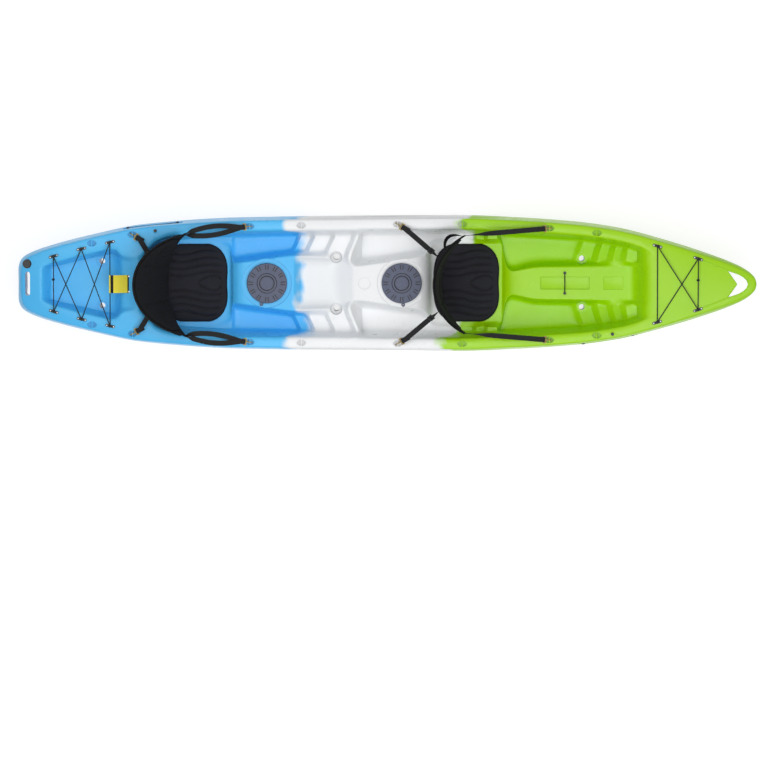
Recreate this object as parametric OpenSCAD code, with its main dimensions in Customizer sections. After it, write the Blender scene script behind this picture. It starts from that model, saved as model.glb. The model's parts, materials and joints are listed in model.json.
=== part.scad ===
// Two-seat sit-on-top kayak. Millimetres, +X to the bow, +Y to port, +Z up.
// The origin is amidships on the centreline, at the lowest line of the keel.

/* [Hull] */
// Length of the hull, stern to bow
hull_length = 4300; // [4200:10:4400]
// Greatest width of the hull, at its chine
hull_beam = 800; // [790:5:840]
// Height of the gunwale amidships
sheer_mid = 352; // [346:1:364]
// Height of the gunwale beside the rear seat
sheer_quarter = 391; // [384:1:398]
// Height of the deck at the bow
sheer_bow = 405; // [398:1:420]
// Height of the deck at the stern
sheer_stern = 308; // [302:1:316]
// Height of the chine amidships
chine_mid = 172; // [164:1:182]
// Thickness of the moulded wall
wall = 6; // [5:0.5:7]
// How far the gunwale stands in from the chine
tumblehome = 18; // [14:1:24]
// Rounding of the gunwale's outer edge
gunwale_radius = 14; // [10:1:16]
// Width of the flat gunwale beside the cockpit
side_deck = 66; // [62:1:70]
// Width of the flat deck beside the tank well
stern_deck = 90; // [84:1:94]

/* [Cockpit] */
// Hinge line of the rear backrest, from amidships
rear_seat_x = -1275; // [-1285:1:-1265]
// Hinge line of the front backrest, from amidships
front_seat_x = 312; // [304:1:320]
// Forward end of the cockpit, from amidships
cockpit_end = 1500; // [1490:1:1512]
// Height of the floor under the seats
seat_floor = 165; // [160:1:172]
// Height of the floor of the leg wells
leg_floor = 142; // [136:1:148]
// Height of the two consoles that carry the hatches
console_top = 250; // [244:1:258]
// Height of the middle seat
middle_seat = 195; // [188:1:204]
// Height of the narrow console before the front seat
bow_console = 225; // [218:1:232]
// Rise of each foot step
step_rise = 30; // [26:1:32]
// Height of the tank well's floor
tank_floor = 262; // [250:1:275]
// Depth of the shelf before the tank well
tank_shelf = 26; // [20:1:30]

/* [Openings] */
// Radius of the scupper tubes
scupper_r = 17; // [15:0.5:19]
// Radius of the dished mouth round a scupper
scupper_mouth_r = 32; // [28:1:36]
// Half length of a pad eye's pocket
pad_eye_half_length = 28; // [27:0.5:30]
// Half width of a pad eye's pocket
pad_eye_half_width = 19; // [18:0.5:21]
// Depth of a pad eye's pocket
pad_eye_depth = 18; // [17:0.5:19]
// Radius of the bar across a pad eye
pad_eye_bar_r = 4; // [3.5:0.1:4.5]
// Distance of a pad eye from the gunwale's edge
pad_eye_inset = 34; // [32:1:37]

/* [Hatches] */
// Radius of a hatch lid
lid_r = 117; // [112:1:122]
// Radius of the clear opening in a hatch rim
hatch_bore_r = 92; // [88:1:94]
// Place of the rear hatch, from amidships
rear_hatch_x = -691; // [-695:1:-687]
// Place of the front hatch, from amidships
front_hatch_x = 94; // [90:1:97]

/* [Keel wheel] */
// Radius of the keel wheel
wheel_r = 75; // [70:1:78]
// Width of the keel wheel
wheel_width = 56; // [50:1:60]
// Radius of the wheel's axle
axle_r = 8; // [7:0.5:9]

/* [Seats] */
// Length of a seat pad
pad_length = 385; // [370:1:390]
// Width of a seat pad
pad_width = 448; // [430:2:456]
// Thickness of a seat pad at its crown
pad_crown = 36; // [32:1:38]
// Height of a backrest along its middle
back_height = 390; // [370:1:400]
// Radius of a backrest's curve in plan
back_radius = 325; // [322:1:330]
// Lean of the rear backrest, back from upright
rear_lean = 28; // [26:0.5:29]
// Lean of the front backrest, back from upright
front_lean = 6; // [4:0.5:8]
// Width of the webbing straps
strap_width = 30; // [26:1:32]
// Thickness of the webbing straps
strap_thickness = 2.5; // [2:0.1:2.8]

/* [Cords] */
// Radius of the elastic deck cords
cord_r = 3; // [2.5:0.1:3.2]

/* [Hidden] */
$fn = 48;

stern_blue = "#5ab4f5";
rubber_black = "#1c1c1f";
cloth_black = "#26262b";
brass = "#b08a3e";
steel = "#b9bcc0";
tab_yellow = "#e8dc4a";

x_stern = -hull_length / 2;
x_bow = hull_length / 2;
gap = 0.3;
gunwale_solid = pad_eye_depth + wall + 1;
cockpit_start = rear_seat_x - 116;
tank_start = x_stern + 160;
tank_wide_end = rear_seat_x - 285;
tank_end = rear_seat_x - 183;
slot_x = x_stern + 70;
slot_half_x = 14.5;
slot_half_y = 70;
wheel_x = x_stern + 205;
wheel_z = wheel_r + 13;
wheel_well_half = wheel_width / 2 + 5;
drain_x = x_stern + 67;
drain_y = 116;
hatch_recess = 6;
roof_extra = 8;
recess_r = lid_r + 28;
hull_hole_r = hatch_bore_r + 7;

// Fairing: a smooth line through a few control points
function mix(a, b, t) = a + (b - a) * t;
function clamp01(t) = min(1, max(0, t));
function ease(t) = let (c = clamp01(t)) c * c * (3 - 2 * c);
function unit(v) = v / norm(v);
function mean(v) = [for (p = v) 1 / len(v)] * v;
function sorted(v) = len(v) < 2 ? v : let (p = v[floor(len(v) / 2)])
    concat(sorted([for (a = v) if (a < p) a]), [p], sorted([for (a = v) if (a > p) a]));
function thinned(v, least, i = 1, kept = []) = i == 1 ? thinned(v, least, 2, [v[0]])
    : i > len(v) ? kept
    : thinned(v, least, i + 1, v[i - 1] - kept[len(kept) - 1] < least ? kept : concat(kept, [v[i - 1]]));
function span_slope(line, i) = (line[i + 1][1] - line[i][1]) / (line[i + 1][0] - line[i][0]);
function knot_slope(line, i) = i == 0 ? span_slope(line, 0)
    : i == len(line) - 1 ? span_slope(line, i - 1)
    : let (a = span_slope(line, i - 1), b = span_slope(line, i)) a * b <= 0 ? 0 : 2 * a * b / (a + b);
function fair(line, x) = let (
        i = max([0, for (k = [0:len(line) - 2]) if (line[k][0] <= x) k]),
        step = line[i + 1][0] - line[i][0],
        t = clamp01((x - line[i][0]) / step),
        a = knot_slope(line, i) * step,
        b = knot_slope(line, i + 1) * step,
        rise = line[i + 1][1] - line[i][1])
    line[i][1] + t * (a + t * (3 * rise - 2 * a - b + t * (a + b - 2 * rise)));

// Hull lines: station runs from -1 at the stern to 1 at the bow
beam_line = [[-1, 0.26], [-0.985, 0.39], [-0.9, 0.57], [-0.78, 0.735], [-0.66, 0.865], [-0.4, 0.965],
    [0, 0.994],
    [0.2, 1], [0.36, 0.967], [0.52, 0.905], [0.63, 0.82], [0.74, 0.67], [0.85, 0.485], [0.95, 0.28],
    [0.985, 0.17], [1, 0.07]];
chine_line = [[-1, 61], [-0.85, 38], [-0.65, 9], [-0.23, 0], [0.05, 0], [0.25, 9], [0.41, 24], [0.58, 44],
    [0.69, 76], [0.8, 123], [0.88, 161], [0.95, 184], [1, 206]];
keel_line = [[-1, 222], [-0.985, 165], [-0.965, 115], [-0.935, 62], [-0.87, 28], [-0.65, 12], [-0.42, 0],
    [0.24, 0], [0.6, 12], [0.75, 30], [0.825, 54], [0.857, 112], [0.89, 193], [0.92, 275], [0.945, 335],
    [0.96, 358], [1, 376]];
sheer_line = [[-1, sheer_stern], [-0.9, mix(sheer_stern, sheer_quarter, 0.5)],
    [-0.78, mix(sheer_stern, sheer_quarter, 0.82)], [-0.65, sheer_quarter], [-0.38, sheer_quarter],
    [-0.25, mix(sheer_mid, sheer_quarter, 0.5)], [-0.1, sheer_mid + 2], [0.05, sheer_mid],
    [0.18, sheer_mid],
    [0.42, mix(sheer_mid, sheer_bow, 0.33)], [0.62, mix(sheer_mid, sheer_bow, 0.74)],
    [0.8, mix(sheer_mid, sheer_bow, 0.95)], [1, sheer_bow]];
vee_line = [[-1, 0.35], [-0.7, 0.15], [-0.4, 0], [0.22, 0], [0.6, 0.12], [0.85, 0.3], [1, 0.35]];
scoop_line = [[-640, 0], [-430, 14], [0, 16], [430, 14], [740, 0]];

function station(x) = 2 * x / hull_length;
function half_beam(x) = hull_beam / 2 * fair(beam_line, station(x));
function chine_z(x) = chine_mid + fair(chine_line, station(x));
function keel_z(x) = fair(keel_line, station(x));
function sheer_z(x) = fair(sheer_line, station(x));
function gunwale_y(x) = half_beam(x) - min(tumblehome, half_beam(x) * 0.1);
function deck_camber(x, y) = 4 * (1 - pow(y / gunwale_y(x), 2));
function deck_z(x, y) = sheer_z(x) + deck_camber(x, y);
function deck_pitch(x) = atan((sheer_z(x + 15) - sheer_z(x - 15)) / 30);

// Deck levels along the boat: outer floor, centre, and the half width of what stands in the centre
function steps(first, xs, run) = [for (i = [0:len(xs) - 1]) each
    [[xs[i], first + i * step_rise], [xs[i] + run, first + (i + 1) * step_rise]]];
rear_steps = [-566, -484, -368, -246];
middle_steps = [393, 509, 573];
bow_steps = [1085, 1201, 1288, 1364];
tank_level = [[tank_start, sheer_z(tank_start)], [tank_start + 36, tank_floor], [tank_wide_end, tank_floor],
    [tank_wide_end + 20, sheer_z(tank_end) - tank_shelf], [tank_end - 20, sheer_z(tank_end) - tank_shelf],
    [tank_end, sheer_z(tank_end)]];
leg_level = concat(
    [[cockpit_start, sheer_z(cockpit_start)], [cockpit_start + 58, seat_floor],
     [rear_seat_x + 375, seat_floor], [rear_seat_x + 395, leg_floor]],
    steps(leg_floor, rear_steps, 26),
    [[-205, leg_floor + 4 * step_rise], [-140, leg_floor]],
    steps(leg_floor, middle_steps, 22),
    [[front_seat_x + 340, leg_floor + 3 * step_rise], [front_seat_x + 362, leg_floor]],
    steps(leg_floor, bow_steps, 38),
    [[cockpit_end - 36, leg_floor + 4 * step_rise], [cockpit_end, sheer_z(cockpit_end)]]);
centre_level = [[cockpit_start, sheer_z(cockpit_start)], [cockpit_start + 58, seat_floor],
    [rear_seat_x + 366, seat_floor], [rear_seat_x + 384, seat_floor + 45], [rear_seat_x + 432, console_top],
    [-528, console_top], [-500, middle_seat], [-290, middle_seat], [-186, console_top],
    [front_seat_x - 66, console_top], [front_seat_x - 48, seat_floor], [front_seat_x + 372, seat_floor],
    [front_seat_x + 390, seat_floor + 30], [front_seat_x + 460, bow_console],
    [cockpit_end - 36, bow_console], [cockpit_end, sheer_z(cockpit_end)]];
rim_level = [[-529, 0], [-528, console_top], [-330, console_top], [-300, middle_seat]];
centre_width = [[rear_seat_x + 366, 235], [rear_seat_x + 384, 120], [-566, 166], [-330, 158], [-186, 100],
    [front_seat_x - 66, 166], [front_seat_x - 48, 235], [front_seat_x + 372, 235], [front_seat_x + 390, 60],
    [front_seat_x + 555, 100], [cockpit_end, 104]];
corner_width = [[cockpit_start, 185], [cockpit_start + 51, 240], [cockpit_start + 119, 275],
    [cockpit_start + 240, 400]];
tank_width = [[tank_wide_end, 400], [tank_wide_end + 20, 165], [tank_end, 155], [cockpit_start, 185]];

function in_tank(x) = x > tank_start && x < tank_end;
function in_cockpit(x) = x > cockpit_start && x < cockpit_end;
function level(x, cockpit) = in_tank(x) ? min(sheer_z(x), lookup(x, tank_level))
    : in_cockpit(x) ? min(sheer_z(x), lookup(x, cockpit)) : sheer_z(x);
function leg_z(x) = level(x, leg_level);
function centre_z(x) = level(x, centre_level);
function rim_z(x) = max(centre_z(x), x > -529 && x < -300 ? lookup(x, rim_level) : 0);
function well_y(x) = let (g = gunwale_y(x)) x < cockpit_start
    ? max(0.45 * g, min(g - stern_deck, lookup(x, tank_width)))
    : max(0.55 * g, min(g - side_deck, lookup(x, corner_width)));
function floor_y(x) = well_y(x) - min(30, 0.2 * well_y(x));
function centre_y(x) = min(lookup(x, centre_width), 0.86 * floor_y(x) - 6);
function step_sweep(x, y) = -34 * ease((x - 1040) / 40) * ease((cockpit_end + 20 - x) / 60)
    * clamp01((y - 120) / 140);
function stern_rake(x, z) = 26 * ease((x_stern + 110 - x) / 110)
    * clamp01((z - chine_z(x)) / (sheer_z(x) - chine_z(x)));

// One half of a hull section, from the middle of the deck round to the middle of the keel
function half_section(x) = let (
        b = half_beam(x), g = gunwale_y(x), zk = keel_z(x), zc = chine_z(x), zs = sheer_z(x),
        r = min(gunwale_radius, 0.2 * g), e = min(10, 0.3 * (zc - zk)),
        yw = well_y(x), yf = floor_y(x), yc = centre_y(x), rim = min(14, 0.12 * yc),
        zl = leg_z(x), zm = centre_z(x), zr = rim_z(x),
        scoop = x < -640 || x > 740 ? 0 : fair(scoop_line, x),
        vee = fair(vee_line, station(x)), rise = zc - zk, side = zs - zc, t = b - g,
        keel_half = min(38, 0.2 * b))
    [[0, zm], [yc - 2.4 * rim, zm], [yc - rim, zr], [yc, zr], [yc + 1.4 * rim, zl], [yf, zl],
     [mix(yf, yw, 0.35), mix(zl, zs, 0.2)], [mix(yf, yw, 0.85), mix(zl, zs, 0.9)], [yw + 6, zs],
     [g - r, zs], [g - 0.3 * r, zs - 0.3 * r], [g, zs - r],
     [b - 0.72 * t - scoop, zc + 0.72 * side], [b - 0.55 * t - scoop, zc + 0.55 * side],
     [b - 0.46 * t, zc + 0.46 * side], [b, zc + e], [b - 0.02 * b, zc - e],
     [0.8 * b, zk + 0.4 * rise], [0.62 * b, zk + vee * rise], [0.46 * b, zk + vee * rise * 0.8],
     [0.28 * b, zk + (0.1 + vee * 0.4) * rise], [keel_half, zk], [0, zk]];
function placed(x, p, i) = let (
        lift = i < 10 ? ease(1 + 1.25 * (p[1] - sheer_z(x)) / tank_shelf) * deck_camber(x, p[0]) : 0,
        sweep = i > 3 && i < 8 ? step_sweep(x, p[0]) : 0)
    [x + sweep + stern_rake(x, p[1]), p[0], p[1] + lift];
function mirrored(half) = concat(half,
    [for (i = [len(half) - 2:-1:1]) [half[i][0], -half[i][1], half[i][2]]]);
function hull_ring(x) = let (half = half_section(x))
    mirrored([for (i = [0:len(half) - 1]) placed(x, half[i], i)]);

feature_x = [for (line = [tank_level, leg_level, centre_level, centre_width, corner_width])
    each [for (p = line) p[0]]];
end_x = [for (u = [-1, -0.985, -0.965, -0.935, -0.9, 0.825, 0.857, 0.89, 0.92, 0.945, 0.96, 0.985, 1])
    u * hull_length / 2];
key_x = sorted(concat(feature_x, end_x));
fill_x = [for (x = [x_stern + 60:105:x_bow - 60]) if (min([for (k = key_x) abs(k - x)]) > 45) x];
hull_x = thinned(sorted(concat(key_x, fill_x)), 7);

// Skin over a row of rings. Each ring turns left as seen along the row; a strip end suits a thin edge
module loft(rings, strip_ends = false, mirror_at = 0) {
    n = len(rings[0]);
    m = len(rings);
    half = floor(n / 2);
    first_mid = n * m;
    last_mid = n * m + 1;
    sides = [for (i = [0:m - 2], j = [0:n - 1]) let (
            a = i * n + j, b = i * n + (j + 1) % n, c = b + n, d = a + n)
        each j < mirror_at || mirror_at == 0 ? [[a, b, c], [a, c, d]] : [[a, b, d], [b, c, d]]];
    far = (m - 1) * n;
    fan_ends = [for (j = [0:n - 1]) each
        [[first_mid, (j + 1) % n, j], [last_mid, far + j, far + (j + 1) % n]]];
    strip = [for (k = [0:half - 2]) each
        [[k, n - 1 - k, n - 2 - k], [k, n - 2 - k, k + 1],
         [far + k, far + n - 2 - k, far + n - 1 - k], [far + k, far + k + 1, far + n - 2 - k]]];
    points = [for (r = rings) each r];
    if (strip_ends) polyhedron(points, concat(sides, strip));
    else polyhedron(concat(points, [mean(rings[0]), mean(rings[m - 1])]), concat(sides, fan_ends));
}

// The hollow inside the hull, kept a wall's thickness from everything round it
function around(x, reach) = [for (k = [-1, -0.5, 0, 0.5, 1]) x + k * reach];
function hollow_ring(x, reach) = let (
        near = around(x, reach),
        zl = min([for (q = near) leg_z(q)]) - wall,
        zm = min([for (q = near) centre_z(q)]) - wall - roof_extra,
        yc = min([for (q = near) centre_y(q)]), wide = max([for (q = near) centre_y(q)]),
        yf = max([for (q = near) floor_y(q)]), yw = max([for (q = near) well_y(q)]),
        zs = min([for (q = near) sheer_z(q)]), scoop = abs(x - 50) > 680 ? 0 : fair(scoop_line, x) + 1,
        g = gunwale_y(x), b = half_beam(x), t = b - g, zk = keel_z(x), zc = chine_z(x), rise = zc - zk,
        vee = fair(vee_line, station(x)), tunnel = 0.1 + 0.4 * vee, foot = zk + wall + 4,
        top = max(zs - gunwale_solid, zc + 12), low = min(zl, top - 6), sunk = zm < low,
        in = min(yw + wall + 3, g - wall - 22))
    mirrored([for (p = [[0, zm], [sunk ? wide + 4 : 0.8 * yc - wall, zm],
            [sunk ? min(wide + 32, yf - 2) : yc - wall, low], [yf + 12, low],
            [min(yf + 20, in), mix(low, top, 0.2)], [in, top], [g - wall - 4 - scoop, top - 2],
            [b - t / 2 - scoop - wall - 3, zc + 0.44 * (zs - zc)], [b - wall - 6, zc],
            [0.77 * b - wall, zk + 0.4 * rise + wall], [0.5 * b, foot + max(0.9 * vee, tunnel) * rise],
            [0.28 * b, foot + tunnel * rise], [0, foot]]) [x, p[0], p[1]]]);
hollow_from = x_stern + 97;
hollow_to = x_bow - 205;
hollow_count = 42;
hollow_step = (hollow_to - hollow_from) / hollow_count;

scuppers = [[tank_wide_end - 90, 129, tank_floor], [-287, 150, middle_seat],
    [1147, 142, leg_floor + step_rise]];
pad_eye_x = [x_stern + 447, rear_seat_x - 192, rear_seat_x + 488, -489,
    front_seat_x - 242, front_seat_x + 133,
    front_seat_x + 639, cockpit_end - 275];
function pad_eye_at(i, side) = let (x = pad_eye_x[i], y = gunwale_y(x) - pad_eye_inset)
    [x, side * y, deck_z(x, y)];
stern_eye_x = [x_stern + 224, x_stern + 387, tank_wide_end - 37];
bow_eye_x = [cockpit_end + 74, cockpit_end + 310];
function eye_at(x, inset, side) = let (y = gunwale_y(x) - inset) [x, side * y, deck_z(x, y) - 2];
stern_eyes = [for (side = [1, -1], x = stern_eye_x) eye_at(x, 52, side)];
bow_eyes = [for (side = [1, -1], x = bow_eye_x) eye_at(x, 34, side)];
function edge_yaw(p) = sign(p[1]) * atan((gunwale_y(p[0] + 15) - gunwale_y(p[0] - 15)) / 30);
module at_eye(p) translate(p) rotate([0, 0, edge_yaw(p)]) rotate([0, -deck_pitch(p[0]), 0]) children();
eye_rivet_x = 21;
console_button_x = 1045;
console_button_y = 59;

// Paddle parks: a cord stretched in a side recess and a button on the deck above it
park_span = 290;
park_first_x = [cockpit_end - 350, tank_end - 40];
park_side = [-1, 1];
park_z = [300, 305];
function park_end(i, k) = let (x = park_first_x[i] + k * park_span)
    [x, park_side[i] * (half_beam(x) - 6), park_z[i]];
function park_yaw(i) = let (d = park_end(i, 1) - park_end(i, 0)) atan2(d[1], d[0]);
park_depth = 24;
module at_park(i) translate((park_end(i, 0) + park_end(i, 1)) / 2) rotate([0, 0, park_yaw(i)])
    scale([1, park_side[i], 1]) children();
function hook_at(i) = let (x = park_first_x[i] + 165, y = gunwale_y(x) - 27)
    [x, park_side[i] * y, deck_z(x, y) - 2];

module stadium(length, width) {
    square([length - width, width], center = true);
    for (s = [-1, 1]) translate([s * (length - width) / 2, 0]) circle(d = width);
}

module lens(a, b) {
    r = (a * a + b * b) / (2 * b);
    intersection() {
        translate([0, r - b]) circle(r);
        translate([0, b - r]) circle(r);
    }
}

module pad_eye_pocket() {
    difference() {
        translate([0, 0, -pad_eye_depth]) linear_extrude(pad_eye_depth + 12)
            lens(pad_eye_half_length, pad_eye_half_width);
        translate([0, 0, -5]) rotate([90, 0, 0]) cylinder(r = pad_eye_bar_r, h = 60, center = true);
    }
}

module hull_hollow() {
    difference() {
        loft([for (i = [0:hollow_count]) hollow_ring(hollow_from + i * hollow_step, hollow_step * 0.55)]);
        for (s = scuppers, side = [-1, 1]) translate([s[0], side * s[1], -10])
            cylinder(r = scupper_mouth_r + wall, h = s[2] + 10);
        translate([wheel_x, 0, 0])
            cube([2 * wheel_r + 34, 2 * wheel_well_half + 2 * wall, 390], center = true);
        across(wheel_x, wheel_z) cylinder(r = axle_r + wall + 4, h = 500, center = true);
        for (side = [-1, 1]) translate([wheel_x, side * 150, wheel_z]) cube([72, 80, 72], center = true);
        for (side = [-1, 1]) {
            translate([-5, side * (hull_beam / 2 + 50), 308]) cube([450, 200, 72], center = true);
            translate([12, side * (hull_beam / 2 + 75), 213]) cube([640, 200, 92], center = true);
        }
        for (i = [0, 1]) at_park(i) translate([0, 10, 0]) cube([park_span + 74, 64, 80], center = true);
    }
}

module bow_opening() {
    tip = x_bow - 46;
    shoulder = x_bow - 178;
    translate([0, 0, 150]) linear_extrude(400)
        polygon([[shoulder, 84], [tip - 54, 58], [tip - 10, 28], [tip, 0], [tip - 10, -28], [tip - 54, -58],
            [shoulder, -84], [shoulder + 26, -48], [shoulder + 60, 0], [shoulder + 26, 48]]);
}

module hull() color(stern_blue) {
    difference() {
        loft([for (x = hull_x) hull_ring(x)], mirror_at = len(half_section(0)) - 1);
        hull_hollow();
        for (s = scuppers, side = [-1, 1]) translate([s[0], side * s[1], 0]) {
            translate([0, 0, -20]) cylinder(r = scupper_r, h = 400);
            translate([0, 0, s[2] - 6]) cylinder(r = scupper_mouth_r, h = 90);
        }
        for (i = [0:len(pad_eye_x) - 1], side = [-1, 1]) translate(pad_eye_at(i, side)) pad_eye_pocket();
        for (p = concat(stern_eyes, bow_eyes)) at_eye(p) {
            linear_extrude(20) stadium(58.4, 16.4);
            for (s = [-1, 1]) translate([s * eye_rivet_x, 0, -9]) cylinder(r = 2.5, h = 12);
        }
        for (x = [rear_hatch_x, front_hatch_x]) translate([x, 0, console_top - hatch_recess]) {
            cylinder(r = recess_r, h = 60);
            translate([0, 0, -90]) cylinder(r = hull_hole_r, h = 120);
            for (a = [0:45:315]) rotate(a) translate([hatch_bore_r + 16.5, 0, -14])
                cylinder(r = 2.2, h = 20);
        }
        translate([-124, 0, console_top - 5]) cylinder(r = 36, h = 40);
        translate([console_button_x + 2, 0, bow_console + 12]) cube([286, 74, 40], center = true);
        translate([console_button_x + 284, 0, bow_console + 17]) cube([116, 76, 40], center = true);
        for (side = [-1, 1]) translate([console_button_x, side * console_button_y, bow_console - 12])
            cylinder(r = 3.2, h = 40);
        translate([slot_x, 0, 0]) linear_extrude(500) rotate(90) stadium(2 * slot_half_y, 2 * slot_half_x);
        bow_opening();
        translate([drain_x, drain_y, sheer_z(drain_x) - 8]) cylinder(r = 26.4, h = 40);
        translate([drain_x, drain_y, sheer_z(drain_x) - 56]) cylinder(r = 17.4, h = 60);
        translate([drain_x, drain_y, sheer_z(drain_x) - 48]) rotate([0, 90, 0]) cylinder(r = 9, h = 90);
        translate([wheel_x, 0, wheel_z]) {
            rotate([90, 0, 0]) cylinder(r = wheel_r + 8, h = 2 * wheel_well_half, center = true);
            translate([0, 0, -100]) cube([2 * wheel_r + 16, 2 * wheel_well_half, 200], center = true);
            rotate([90, 0, 0]) cylinder(r = axle_r + 0.05, h = 600, center = true);
            for (side = [-1, 1]) translate([0, side * 118, 0]) rotate([-90 * side, 0, 0])
                cylinder(r = 26, h = 150);
        }
        for (side = [-1, 1]) scale([1, side, 1]) {
            translate([0, hull_beam / 2 + 40, 0]) rotate([90, 0, 0]) linear_extrude(84)
                polygon([[-215, sheer_mid - 26], [205, sheer_mid - 26], [165, 284], [-175, 284]]);
            translate([12, hull_beam / 2 + 40, chine_mid + 8]) rotate([90, 0, 0]) linear_extrude(58)
                polygon([for (i = [0:16]) let (a = 180 * i / 16) [-300 * cos(a), 66 * sin(a)]]);
        }
        for (i = [0, 1]) at_park(i) translate([0, 10, 0])
            cube([park_span + 60, 2 * park_depth, 62], center = true);
        for (i = [0, 1]) translate(hook_at(i)) {
            scale([1, park_side[i], 1]) linear_extrude(40) polygon([[-58, 16], [0, -16], [58, 16]]);
            translate([0, 0, -14]) cylinder(r = 3.2, h = 20);
        }
        for (side = [-1, 1]) translate([tab_rivet_x, side * tab_rivet_y, shelf_z - 12])
            cylinder(r = 2.5, h = 20);
    }
}

// Hatches: rim screwed to the console, flat seal, screw-in lid with a pull tab
hatch_z = console_top - hatch_recess;
rim_flange = 5;
rim_screw_r = hatch_bore_r + 16.5;
seal_in = hatch_bore_r + 3;
seal_out = hatch_bore_r + 11;
module at_hatch(x) translate([x, 0, hatch_z]) children();

module hatch_rim(x) color(rubber_black) at_hatch(x) difference() {
    rotate_extrude() polygon([[hatch_bore_r, -28], [hull_hole_r - 0.4, -28], [hull_hole_r - 0.4, 0],
        [lid_r - 1, 0], [lid_r - 1, rim_flange], [hatch_bore_r, rim_flange]]);
    for (a = [0:45:315]) rotate(a) translate([rim_screw_r, 0, 0])
        rotate_extrude() polygon([[0, -1], [2.05, -1], [2.05, 2.3], [4.15, 5.01], [0, 5.01]]);
}

module hatch_screws(x) color(steel) at_hatch(x)
    for (a = [0:45:315]) rotate(a) translate([rim_screw_r, 0, 0])
    rotate_extrude() polygon([[0, -12], [1.9, -12], [1.9, 2.4], [4, 5], [0, 5]]);

module hatch_seal(x) color("dimgray") at_hatch(x) rotate_extrude()
    polygon([[seal_in, 5.2], [seal_out, 5.2], [seal_out, 8.8], [seal_in, 8.8]]);

module hatch_lid(x, tab_angle) color(rubber_black) at_hatch(x) {
    rotate_extrude() polygon([[0, 13], [hatch_bore_r - 8, 13], [hatch_bore_r - 8, -14],
        [hatch_bore_r - 0.7, -14],
        [hatch_bore_r - 0.7, 9], [lid_r, 9], [lid_r, 15], [lid_r - 4, 19], [0, 19]]);
    for (a = [0:30:330], s = [-4, 4]) rotate(a + s) translate([lid_r - 30, -1.2, 18]) cube([20, 2.4, 2.6]);
    rotate_extrude() polygon([[40, 18], [44, 18], [44, 20.6], [40, 20.6]]);
    translate([0, 0, 18]) cylinder(r = 33, h = 2.2);
    rotate(tab_angle) translate([lid_r + 2, 0, 9.5]) linear_extrude(4) difference() {
        stadium(36, 20);
        translate([6, 0]) circle(4);
    }
}

// Drain at the stern: socket let into the deck, gasket and screw plug
module at_drain() translate([drain_x, drain_y, sheer_z(drain_x)]) children();

module drain_socket() color(rubber_black) at_drain() rotate_extrude()
    polygon([[12.6, -30], [17, -30], [17, -8], [26, -8], [26, -4], [12.6, -4]]);

module drain_gasket() color("dimgray") at_drain() rotate_extrude()
    polygon([[14, -3.8], [20, -3.8], [20, -1.8], [14, -1.8]]);

module drain_plug() color(rubber_black) at_drain() {
    rotate_extrude() polygon([[0, -26], [12.2, -26], [12.2, -1.5], [22, -1.5], [22, 5], [20, 7], [0, 7]]);
    translate([-16, -3.5, 6]) cube([32, 7, 8]);
}

// Keel wheel
axle_half = 117.9;
module across(x, z) translate([x, 0, z]) rotate([90, 0, 0]) children();

module wheel_axle() color(steel) across(wheel_x, wheel_z)
    cylinder(r = axle_r, h = 2 * axle_half, center = true);

module axle_caps() color(rubber_black) for (side = [-1, 1]) translate([wheel_x, side * 118, wheel_z])
    rotate([-90 * side, 0, 0]) rotate_extrude() polygon([[0, 0], [25, 0], [25, 4], [21, 8], [0, 8]]);

module wheel_bush() color("beige") across(wheel_x, wheel_z) difference() {
    cylinder(r = axle_r + 4, h = wheel_width + 4, center = true);
    cylinder(r = axle_r + 0.05, h = wheel_width + 20, center = true);
}

module wheel_hub() color("gray") across(wheel_x, wheel_z) difference() {
    cylinder(r = wheel_r - 26, h = wheel_width - 6, center = true);
    cylinder(r = axle_r + 4.1, h = wheel_width, center = true);
    for (a = [0:72:288]) rotate(a) translate([wheel_r - 44, 0, 0])
        cylinder(r = 9, h = wheel_width, center = true);
}

module wheel_tyre() color(rubber_black) across(wheel_x, wheel_z) rotate_extrude() {
    half = wheel_width / 2;
    polygon([[wheel_r - 25.9, 4 - half], [wheel_r - 12, -half], [wheel_r - 3, 6 - half],
        [wheel_r, 16 - half],
        [wheel_r, half - 16], [wheel_r - 3, half - 6], [wheel_r - 12, half], [wheel_r - 25.9, half - 4]]);
}

// Lash eyes: a saddle on two rivets. Its bar stands clear of the plate for a cord
eye_bar_z = 14.5;
eye_bar_r = 11;
module lash_eye() {
    difference() {
        linear_extrude(4) stadium(58, 16);
        for (s = [-1, 1]) translate([s * eye_rivet_x, 0, -1]) cylinder(r = 2.45, h = 6);
    }
    translate([0, 0, eye_bar_z - eye_bar_r]) rotate([90, 0, 0]) rotate_extrude(angle = 180)
        translate([eye_bar_r - 2, -2.5]) square([4, 5]);
}

module stern_lash_eyes() color(rubber_black) for (p = stern_eyes) at_eye(p) lash_eye();
module bow_lash_eyes() color(rubber_black) for (p = bow_eyes) at_eye(p) lash_eye();

module lash_eye_rivets() color(steel) for (p = concat(stern_eyes, bow_eyes), s = [-1, 1]) at_eye(p)
    translate([s * eye_rivet_x, 0, 0]) rotate_extrude()
        polygon([[0, -8], [2.3, -8], [2.3, 4.05], [4.6, 4.05], [3.8, 5.8], [2, 6.6], [0, 6.8]]);

// Cords: a round section carried along a list of points
function along(points, i) = unit(points[min(i + 1, len(points) - 1)] - points[max(i - 1, 0)]);
function cord_ring(points, i, across_axis) = let (
        t = along(points, i), up = unit(cross(across_axis, t)), left = cross(up, t))
    [for (a = [0:45:315]) points[i] + cord_r * (up * cos(a) + left * sin(a))];
module cord(points) loft([for (i = [0:len(points) - 1]) cord_ring(points, i, [1, 0, 0])]);
module knot(p) translate(p) rotate([90, 0, 0]) rotate_extrude()
    polygon([[0, -11], [4, -11], [7.5, -6], [8, 0], [7.5, 6], [4, 11], [0, 11]]);

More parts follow.
